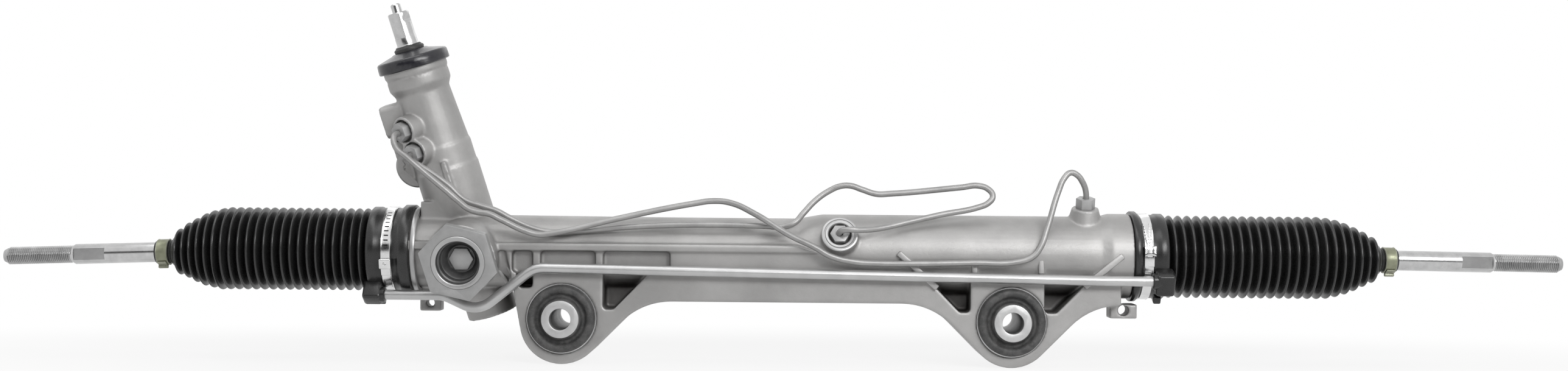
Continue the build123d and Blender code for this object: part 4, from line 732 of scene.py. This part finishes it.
def makeBand(sideName):
    side = bootSides[sideName]
    centre = Vector((side["sign"] * (side["end"] - clamp["inset"]), rackCentre.y, rackCentre.z))
    half = clamp["halfWidth"]
    band = turnedProfile(
        f"{sideName}ClampBand",
        [(-half, clamp["inner"]), (-half, clamp["outer"] - 0.5 * mm), (-half + 0.5 * mm, clamp["outer"]),
         (-half + 1.1 * mm, clamp["outer"] - 0.25 * mm), (half - 1.1 * mm, clamp["outer"] - 0.25 * mm),
         (half - 0.5 * mm, clamp["outer"]), (half, clamp["outer"] - 0.5 * mm), (half, clamp["inner"])],
        centre, clamp["steps"])
    return band, centre.x


def makeLeftClamp():
    band, x = makeBand("left")
    cutters = []
    for step in range(9):  # slots for the worm teeth
        angle = 8 + step * 6.5
        cutters.append(easedBlock(f"slotCutter{step}", atAngle(x, angle, clamp["outer"]),
                                  (3.6 * mm, 1.1 * mm, 3.2 * mm), Vector((1, 0, 0)), outAt(angle), 0.3 * mm, 2))
    joinPieces(cutters[0], cutters[1:])
    applyModifier(band, "BOOLEAN", operation="DIFFERENCE", object=cutters[0], solver="EXACT")
    bpy.data.objects.remove(cutters[0])
    block = easedBlock("leftClampBlock", atAngle(x, -16, clamp["outer"] + 1.2 * mm), (9.4 * mm, 8.0 * mm, 3.4 * mm),
                       Vector((1, 0, 0)), outAt(-16), 0.8 * mm)
    hole = easedBlock("leftClampHole", atAngle(x, -15, clamp["outer"] + 3 * mm), (2.6 * mm, 2.6 * mm, 3 * mm),
                      Vector((1, 0, 0)), outAt(-15), 0.7 * mm)
    applyModifier(block, "BOOLEAN", operation="DIFFERENCE", object=hole, solver="EXACT")
    bpy.data.objects.remove(hole)
    tail = easedBlock("leftClampTail", atAngle(x, -27, clamp["outer"] + 0.5 * mm), (7.4 * mm, 7 * mm, 1.0 * mm),
                      Vector((1, 0, 0)), outAt(-27), 0.3 * mm)
    joinPieces(band, [block, tail])
    band.name = "leftBootClamp"
    dressPiece(band, "stainlessBand", "housing", ["left_boot_clamp"], 40)


def makeRightClamp():
    band, x = makeBand("right")
    ear = easedBlock("rightClampEar", atAngle(x, 8, clamp["outer"] + 2.2 * mm), (9.0 * mm, 8.4 * mm, 5.4 * mm),
                     Vector((1, 0, 0)), outAt(8), 0.5 * mm, 2)
    editAll(ear)
    bpy.ops.mesh.subdivide(number_cuts=3)
    bpy.ops.object.mode_set(mode="OBJECT")
    foot = clamp["outer"] + 1.4 * mm
    for vertex in ear.data.vertices:  # pinched waist with a crease across the top
        out = (vertex.co - rackAxisPoint).dot(outAt(8))
        height = (vertex.co - rackAxisPoint).dot(outAt(98))
        middle = (atAngle(x, 8, clamp["outer"]) - rackAxisPoint).dot(outAt(98))
        if out > foot:
            squeeze = 0.62 + 0.38 * abs((vertex.co.x - x) / (4.5 * mm))
            vertex.co += outAt(98) * (middle - height) * (1 - squeeze)
            vertex.co -= outAt(8) * 1.1 * mm * (1 - abs(vertex.co.x - x) / (4.5 * mm))
    strips = []
    for offset, lean in ((-2.1 * mm, 1), (2.1 * mm, -1)):  # forked tongue laid over the band above the ear
        for step in range(7):
            angle = 18 + step * 5
            spread = offset * (0.35 + 0.12 * step)
            strips.append(easedBlock(f"tongue{lean}{step}", atAngle(x + spread, angle, clamp["outer"] + 0.35 * mm),
                                     (2.4 * mm, 3.6 * mm, 0.9 * mm), Vector((1, 0, 0)), outAt(angle), 0.25 * mm, 2))
    tail = easedBlock("rightClampTail", atAngle(x, -4, clamp["outer"] + 0.5 * mm), (7.6 * mm, 9 * mm, 1.0 * mm),
                      Vector((1, 0, 0)), outAt(-4), 0.3 * mm)
    joinPieces(band, [ear, tail] + strips)
    band.name = "rightBootClamp"
    dressPiece(band, "stainlessBand", "housing", ["right_boot_clamp"], 40)


makeLeftClamp()
makeRightClamp()
print("boot clamps made")


# neck clips on the tie rods
neckClip = dict(start=5.2 * mm, width=9.2 * mm, inner=9.45 * mm, outer=10.5 * mm)


def makeNeckClip(sideName):
    side = bootSides[sideName]
    outward = rodOutward(side)
    start = side["ball"] + outward * (side["neckReach"] + neckClip["start"])
    width = neckClip["width"]
    band = turnedProfile(
        f"{sideName}NeckClip",
        [(0, neckClip["inner"]), (0, neckClip["outer"] - 0.3 * mm), (0.4 * mm, neckClip["outer"] + 0.1 * mm),
         (1.2 * mm, neckClip["outer"] - 0.2 * mm), (width - 1.2 * mm, neckClip["outer"] - 0.2 * mm),
         (width - 0.4 * mm, neckClip["outer"] + 0.1 * mm), (width, neckClip["outer"] - 0.3 * mm),
         (width, neckClip["inner"])],
        start, 64, outward)
    down = Vector((0, -0.25, -1)).normalized()
    middle = start + outward * width / 2
    ear = easedBlock(f"{sideName}ClipEar", middle + down * (neckClip["outer"] + 1.0 * mm),
                     (width - 1.5 * mm, 3.0 * mm, 3.6 * mm), outward, down, 0.7 * mm)
    tailSide = Vector((0, -0.55, -0.83))
    tail = easedBlock(f"{sideName}ClipTail", middle + tailSide.normalized() * (neckClip["outer"] + 0.3 * mm),
                      (width - 2.5 * mm, 5.0 * mm, 0.9 * mm), outward, tailSide, 0.3 * mm)
    joinPieces(band, [ear, tail])
    dressPiece(band, "oliveClip", f"{sideName}_rod", [f"{sideName}_neck_clamp"], 40)


for sideName in bootSides:
    makeNeckClip(sideName)
print("neck clips made")


# mounting bushes: rubber with a domed front flange and a groove, and the pale sleeve
bush = dict(spread=177.5 * mm, rubber=[
    (12, 14.72), (12, 16.5), (13.6, 18.5), (13.6, 22.5), (12.2, 25.0), (13.0, 25.48), (66, 25.48), (66.02, 25.9),
    (67.0, 26.5), (69.6, 26.6), (71.6, 26.1), (72.8, 25.0), (73.2, 23.2), (72.9, 21.6), (71.9, 20.4), (70.2, 19.6),
    (69.6, 18.4), (69.9, 17.2), (71.3, 16.3), (73.0, 15.8), (73.6, 15.2), (73.4, 14.72)])


def makeBush(sideName, sign):
    centre = Vector((sign * bush["spread"], 0, 0))
    rubber = turnedProfile(f"{sideName}BushRubber", inMm(bush["rubber"]), centre, 96, Vector((0, -1, 0)))
    dressPiece(rubber, "bushRubber", "housing", [f"{sideName}_bush_rubber"], 50)
    sleeve = bevelledCopy(f"{sideName}_bush_sleeve", f"{sideName}BushSleeve", 0.7 * mm)
    dressPiece(sleeve, "sleeveZinc", "housing", [f"{sideName}_bush_sleeve"])


makeBush("left", -1)
makeBush("right", 1)
print("bushes made")


# yoke plug: bright rim, stepped recess darkened with painted shade, a hexagon floor, and the flat lock nut round it
plug = dict(
    rim=[(31, 17.6), (31, 20.98), (52.0, 20.98), (52.6, 20.4), (52.6, 17.9), (52.1, 17.3), (50.6, 17.2), (50.6, 17.6)],
    recess=[(50.8, 17.58), (50.8, 17.2), (47.0, 16.8), (46.4, 15.6), (41.0, 15.1), (39.6, 13.4), (36.6, 12.2),
            (34.6, 10.8), (34.6, 0.4), (31.2, 0.4), (31.2, 17.58)],
    hexFloor=10.2 * mm, hexFront=36.4 * mm)


def makePlug():
    rim = turnedProfile("yokePlug", inMm(plug["rim"]), yokePoint, 96, frontDir)
    paint(rim, "machinedAluminium")
    # the recess walls take the near-black painted-shade copy of the metal
    recess = turnedProfile("plugRecess", inMm(plug["recess"]), yokePoint, 96, frontDir)
    paint(recess, "paintedRecessShade")
    deselectAll()
    bpy.ops.mesh.primitive_cylinder_add(vertices=6, radius=plug["hexFloor"], depth=4 * mm)
    hexFloor = bpy.context.object
    bpy.ops.object.mode_set(mode="EDIT")
    bpy.ops.mesh.select_all(action="SELECT")
    bpy.ops.mesh.bevel(offset=0.8 * mm, segments=3, affect="EDGES")
    bpy.ops.object.mode_set(mode="OBJECT")
    hexFloor.matrix_world = (Matrix.Translation(yokePoint + frontDir * (plug["hexFront"] - 2 * mm))
                             @ frontDir.to_track_quat("Z", "X").to_matrix().to_4x4())
    placeMesh(hexFloor)
    paint(hexFloor, "machinedAluminium")
    joinPieces(rim, [recess, hexFloor])
    smoothShade(rim, 40)
    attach(rim, "housing")
    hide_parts("yoke_plug")
    nut = bevelledCopy("yoke_lock_nut", "yokeLockNut", 0.6 * mm)
    dressPiece(nut, "platedNut", "housing", ["yoke_lock_nut"])


makePlug()
print("yoke plug and nut made")


# black cap over the tower with the wiper collar, and the bright shaft end above
towerTop = dict(cap=[
    (152.6, 25.65), (152.6, 28.1), (153.3, 28.8), (156.5, 28.75), (160.2, 28.45), (161.3, 27.7), (161.9, 26.2),
    (164.9, 15.2), (165.6, 13.9), (166.0, 12.8), (166.0, 9.25), (158.6, 9.25), (157.02, 19.0), (157.02, 25.65)],
    collar=[(166.02, 9.03), (166.02, 11.7), (167.6, 12.1), (168.7, 11.6), (169.1, 10.7), (170.3, 10.0), (170.5, 9.6),
            (170.5, 9.03)])


def makeTowerTop():
    cap = turnedProfile("dustCap", inMm(towerTop["cap"]), pinionCentre, 96, towerDir)
    dressPiece(cap, "capBlack", "housing", ["dust_cap"], 40)
    collar = turnedProfile("shaftCollar", inMm(towerTop["collar"]), pinionCentre, 64, towerDir)
    dressPiece(collar, "sealRubber", "housing", ["shaft_collar"], 40)
    shaft = bevelledCopy("input_shaft", "inputShaft", 0.35 * mm)
    dressPiece(shaft, "turnedSteel", "input", ["input_shaft"], 30)


makeTowerTop()
print("tower top made")


# machined flange ring left showing between the left boot and the casting
flangeRing = [(293.4, 30.5), (293.4, 34.0), (293.9, 34.4), (296.6, 34.4), (297.2, 34.0), (297.2, 30.5)]
ring = turnedProfile("leftFlangeRing", inMm(flangeRing), rackAxisPoint, 96, Vector((-1, 0, 0)))
dressPiece(ring, "machinedAluminium", "housing", angle=40)


# steel lines from the valve ports to the cylinder, bent by hand in easy sweeps
lineRadius = 2.4 * mm
lineRoutes = {
    "long": [(-302.9, -60.4, 147.0), (-306.4, -65.4, 145.2), (-309.2, -72.5, 142.0), (-306.1, -79.0, 132.9),
             (-296.8, -82.0, 125.3), (-282.4, -80.0, 112.9), (-267.2, -79.0, 100.4), (-257.4, -78.0, 92.0),
             (-249.2, -78.0, 85.8), (-241.6, -78.0, 83.3), (-233.5, -78.0, 82.2), (-224.6, -77.0, 78.0),
             (-204.3, -75.0, 68.6), (-194.4, -74.0, 66.2), (-184.0, -73.0, 67.3), (-136.1, -66.0, 78.6),
             (-74.1, -59.0, 91.5), (-58.8, -58.0, 93.6), (-45.2, -59.0, 92.3), (-25.7, -68.0, 83.9),
             (2.7, -74.0, 67.1), (20.9, -76.0, 58.7), (34.8, -76.0, 51.2), (53.0, -75.0, 47.1), (72.6, -74.0, 46.0),
             (100.8, -73.0, 46.0), (146.7, -72.0, 47.1), (181.1, -72.0, 48.1), (193.1, -72.0, 52.5),
             (199.3, -71.0, 60.2), (204.4, -68.0, 73.5), (214.5, -60.0, 103.8), (219.7, -57.0, 114.5),
             (224.8, -55.0, 118.6), (229.8, -54.0, 117.0), (234.6, -53.0, 111.2), (237.8, -50.5, 103.0),
             (238.0, -46.9, 92.6)],
    "short": [(-294.5, -59.6, 129.6), (-297.2, -65.0, 128.0), (-298.0, -70.5, 125.4), (-295.0, -72.5, 122.8),
              (-288.8, -72.0, 119.3), (-267.4, -71.0, 104.7), (-254.0, -70.0, 92.9), (-241.2, -69.0, 88.2),
              (-229.4, -68.0, 84.5), (-218.5, -67.0, 78.8), (-198.5, -65.0, 70.3), (-184.3, -63.5, 68.0),
              (-165.2, -62.5, 69.1), (-112.3, -62.5, 73.4), (-54.6, -62.5, 74.9), (-17.5, -62.5, 74.3),
              (-2.6, -63.0, 73.9), (5.5, -63.0, 76.9), (12.7, -58.0, 84.6), (22.4, -53.0, 94.8),
              (33.5, -50.0, 102.6), (42.2, -50.0, 106.3), (50.5, -50.0, 106.6), (59.2, -50.0, 103.8),
              (70.9, -50.0, 100.3), (81.6, -50.0, 100.6), (138.8, -50.0, 106.2), (151.9, -50.0, 107.6),
              (160.1, -51.0, 104.7), (163.3, -53.0, 99.4), (159.7, -55.0, 94.1), (151.9, -56.0, 90.6),
              (122.7, -59.0, 84.6), (96.9, -63.0, 78.7), (72.5, -71.0, 73.4), (58.5, -77.5, 72.2),
              (47.5, -80.0, 72.4), (41.8, -77.0, 71.1), (41.4, -67.7, 66.8)],
}


def makeLine(lineName, points):
    deselectAll()
    bpy.ops.curve.primitive_bezier_curve_add()
    line = bpy.context.object
    line.name = f"{lineName}TransferLine"
    bends = line.data.splines[0].bezier_points
    bends.add(len(points) - len(bends))
    for bend, place in zip(bends, points):
        bend.co = Vector(place) * mm
        bend.handle_left_type = bend.handle_right_type = "AUTO"
    line.data.resolution_u = 8
    line.data.bevel_depth = lineRadius
    line.data.bevel_resolution = 5
    line.data.use_fill_caps = True
    line.location = (0, 0, 0)
    bpy.ops.object.convert(target="MESH")
    mergeAndTurnOut(bpy.context.object)
    dressPiece(bpy.context.object, "zincTube", "housing", [f"{lineName}_transfer_line"], 50)


for lineName, points in lineRoutes.items():
    makeLine(lineName, points)
print("steel lines made")


# machined rings on the line ports, and the hexagon tube nuts
ports = dict(ring=[(-3, 9.06), (-3, 14.4), (0.2, 14.4), (0.6, 13.9), (0.6, 12.7), (0.0, 12.4), (0.0, 11.7), (0.8, 11.3),
                   (0.8, 9.7), (0.2, 9.06)], x=41.4 * mm, rise=25, face=39 * mm)


def makePorts():
    facing = outAt(ports["rise"])
    centre = Vector((ports["x"], rackCentre.y, rackCentre.z)) + facing * ports["face"]
    ring = turnedProfile("leftPortRing", inMm(ports["ring"]), centre, 72, facing)
    dressPiece(ring, "machinedAluminium", "housing", angle=40)
    nuts = bevelledCopy("tube_nuts", "tubeNuts", 0.5 * mm)
    dressPiece(nuts, "platedNut", "housing", ["tube_nuts"])


makePorts()
print("ports made")


# cast ribs that stand proud of the tube and the cylinder
ribs = dict(width=5 * mm, ease=1.4 * mm, uprights=[(148.0, 38.0, 58.0, -69.5), (200.5, 38.0, 58.0, -69.5)],
            slants=[((263.0, -70.5, 52.5), (236.0, -69.0, 30.0)), ((89.0, -69.5, 53.0), (117.0, -68.5, 28.0)),
                    ((-227.5, -63.5, 52.5), (-217.0, -59.5, 33.0)), ((-233.5, -62.5, 47.0), (-223.0, -57.0, 29.0))])


def makeRibs():
    pieces = []
    for place, (x, low, high, frontY) in enumerate(ribs["uprights"]):
        rib = easedBlock(f"uprightRib{place}", Vector((x, frontY + 8, (low + high) / 2)) * mm,
                         (ribs["width"], 16 * mm, (high - low) * mm), Vector((1, 0, 0)), Vector((0, 0, 1)),
                         ribs["ease"])
        selectVertices(rib, lambda co: co.z > (high - 3) * mm and co.y < (frontY + 8) * mm)
        bpy.ops.transform.translate(value=(0, 4 * mm, 0))
        bpy.ops.object.mode_set(mode="OBJECT")
        pieces.append(rib)
    for place, (start, end) in enumerate(ribs["slants"]):
        start, end = Vector(start) * mm, Vector(end) * mm
        run = end - start
        thick = ribs["width"] if place < 2 else 3 * mm
        rib = easedBlock(f"slantRib{place}", (start + end) / 2 + Vector((0, 4 * mm, 0)),
                         (run.length + 4 * mm, thick, 10 * mm), run, Vector((0, -1, 0)), ribs["ease"] * 0.8)
        pieces.append(rib)
    joinPieces(pieces[0], pieces[1:])
    pieces[0].name = "castRibs"
    dressPiece(pieces[0], "castAluminium", "housing", angle=50)


makeRibs()
print("ribs made")


# swelling of the casting below the return hose port, outside the valve bore
belly = dict(up=75.5 * mm, aside=21.5 * mm, cut=23.5 * mm,
             outline=[(-5, 0.4), (-5, 16.1), (-3.6, 17.5), (14.1, 17.5), (15.5, 16.1), (15.5, 0.4)])


def makeBelly():
    centre = pinionCentre + towerDir * belly["up"] - sideDir * belly["aside"]
    piece = turnedProfile("returnBelly", inMm(belly["outline"]), centre, 96, -frontDir)
    editAll(piece)
    bpy.ops.mesh.bisect(plane_co=pinionCentre - sideDir * belly["cut"], plane_no=sideDir, use_fill=True,
                        clear_outer=True)
    bpy.ops.object.mode_set(mode="OBJECT")
    mergeAndTurnOut(piece)
    dressPiece(piece, "castAluminium", "housing", angle=40)


makeBelly()
print("port swelling made")


# camera, floor and soft studio light
view = dict(place=(-2.9 * mm, -1486 * mm, 106.4 * mm), lens=41.35, roll=-0.52)
floor = dict(size=8.0, drop=0.3 * mm, shadowShare=0.14, reach=(0.85, 0.30, 1.0))


def makeCamera():
    data = bpy.data.cameras.new("photoCamera")
    data.lens = view["lens"]
    data.sensor_width = 36
    data.clip_start = 0.01
    data.clip_end = 100
    camera = bpy.data.objects.new("photoCamera", data)
    camera.location = view["place"]
    camera.rotation_euler = (math.radians(90), math.radians(view["roll"]), 0)
    bpy.context.scene.collection.objects.link(camera)
    bpy.context.scene.camera = camera


def seenRay(tree):  # 1 for rays from the camera, in reflections and through glass
    ray = addNode(tree, "ShaderNodeLightPath")
    sharp = addMath(tree, "ADD")
    seen = addMath(tree, "ADD", use_clamp=True)
    wire(tree, (ray, "Is Camera Ray", sharp, 0), (ray, "Is Glossy Ray", sharp, 1), (sharp, "Value", seen, 0),
         (ray, "Is Transmission Ray", seen, 1))
    return seen


def makeFloor():
    deselectAll()
    bpy.ops.mesh.primitive_plane_add(size=floor["size"], location=(0, 0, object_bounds()[0].z - floor["drop"]))
    piece = bpy.context.object
    piece.name = "studioFloor"
    material = bpy.data.materials.new("whiteFloor")
    material.use_nodes = True
    tree = material.node_tree
    matte = tree.nodes["Principled BSDF"]
    matte.inputs["Base Color"].default_value = grey(0.85)
    matte.inputs["Roughness"].default_value = 0.9
    matte.inputs["Specular IOR Level"].default_value = 0.1
    glow = addNode(tree, "ShaderNodeEmission", Strength=1.0)
    place = addNode(tree, "ShaderNodeTexCoord")
    squeeze = addNode(tree, "ShaderNodeVectorMath", operation="DIVIDE")
    squeeze.inputs[1].default_value = floor["reach"]
    distance = addNode(tree, "ShaderNodeVectorMath", operation="LENGTH")
    fade = addRange(tree, 0.45, 1.3, 1 - floor["shadowShare"])
    fade.interpolation_type = "SMOOTHSTEP"
    share = addMath(tree, "MULTIPLY")
    mix = addNode(tree, "ShaderNodeMixShader")
    wire(tree, (place, "Object", squeeze, 0), (squeeze, "Vector", distance, 0), (distance, "Value", fade, "Value"),
         (fade, "Result", share, 1), (seenRay(tree), "Value", share, 0), (share, "Value", mix, "Fac"),
         (matte, "BSDF", mix, 1), (glow, "Emission", mix, 2),
         (mix, "Shader", tree.nodes["Material Output"], "Surface"))
    piece.data.materials.append(material)


lamps = {  # place, size, power
    "frontKey": dict(place=(0.7, -1.5, 0.8), size=(1.2, 0.5), power=18),
    "topFill": dict(place=(-0.5, -0.5, 1.6), size=(2.0, 0.6), power=8),
    "rearRim": dict(place=(0.0, 1.4, 1.1), size=(2.4, 0.7), power=3),
}
darkCard = dict(size=(5.0, 1.5), place=(0, -2.3, 0.05))  # the dim room behind the camera, seen in the metal


def makeLamps():
    for lampName, lamp in lamps.items():
        data = bpy.data.lights.new(lampName, "AREA")
        data.shape = "RECTANGLE"
        data.size, data.size_y = lamp["size"]
        data.energy = lamp["power"]
        light = bpy.data.objects.new(lampName, data)
        light.location = lamp["place"]
        aim = Vector((0, -0.036, 0.04)) - Vector(lamp["place"])
        light.rotation_euler = aim.to_track_quat("-Z", "Y").to_euler()
        bpy.context.scene.collection.objects.link(light)
    deselectAll()
    bpy.ops.mesh.primitive_plane_add(size=1, location=darkCard["place"], rotation=(math.radians(90), 0, 0))
    card = bpy.context.object
    card.name = "dimRoomCard"
    card.scale = (*darkCard["size"], 1)
    card.visible_camera = False
    material = bpy.data.materials.new("dimRoom")
    material.use_nodes = True
    material.node_tree.nodes["Principled BSDF"].inputs["Base Color"].default_value = grey(0.03)
    material.node_tree.nodes["Principled BSDF"].inputs["Roughness"].default_value = 1.0
    card.data.materials.append(material)
    world = bpy.data.worlds.new("studioWorld")
    bpy.context.scene.world = world
    world.use_nodes = True
    tree = world.node_tree
    soft = tree.nodes["Background"]
    soft.inputs["Color"].default_value = grey(0.9)
    soft.inputs["Strength"].default_value = 0.2
    white = addNode(tree, "ShaderNodeBackground", Strength=1.0)
    white.inputs["Color"].default_value = grey(1.0)
    mix = addNode(tree, "ShaderNodeMixShader")
    wire(tree, (seenRay(tree), "Value", mix, "Fac"), (soft, "Background", mix, 1), (white, "Background", mix, 2),
         (mix, "Shader", tree.nodes["World Output"], "Surface"))


makeCamera()
makeFloor()
makeLamps()
bpy.context.scene.view_settings.view_transform = "Standard"
print("camera, floor and light set")
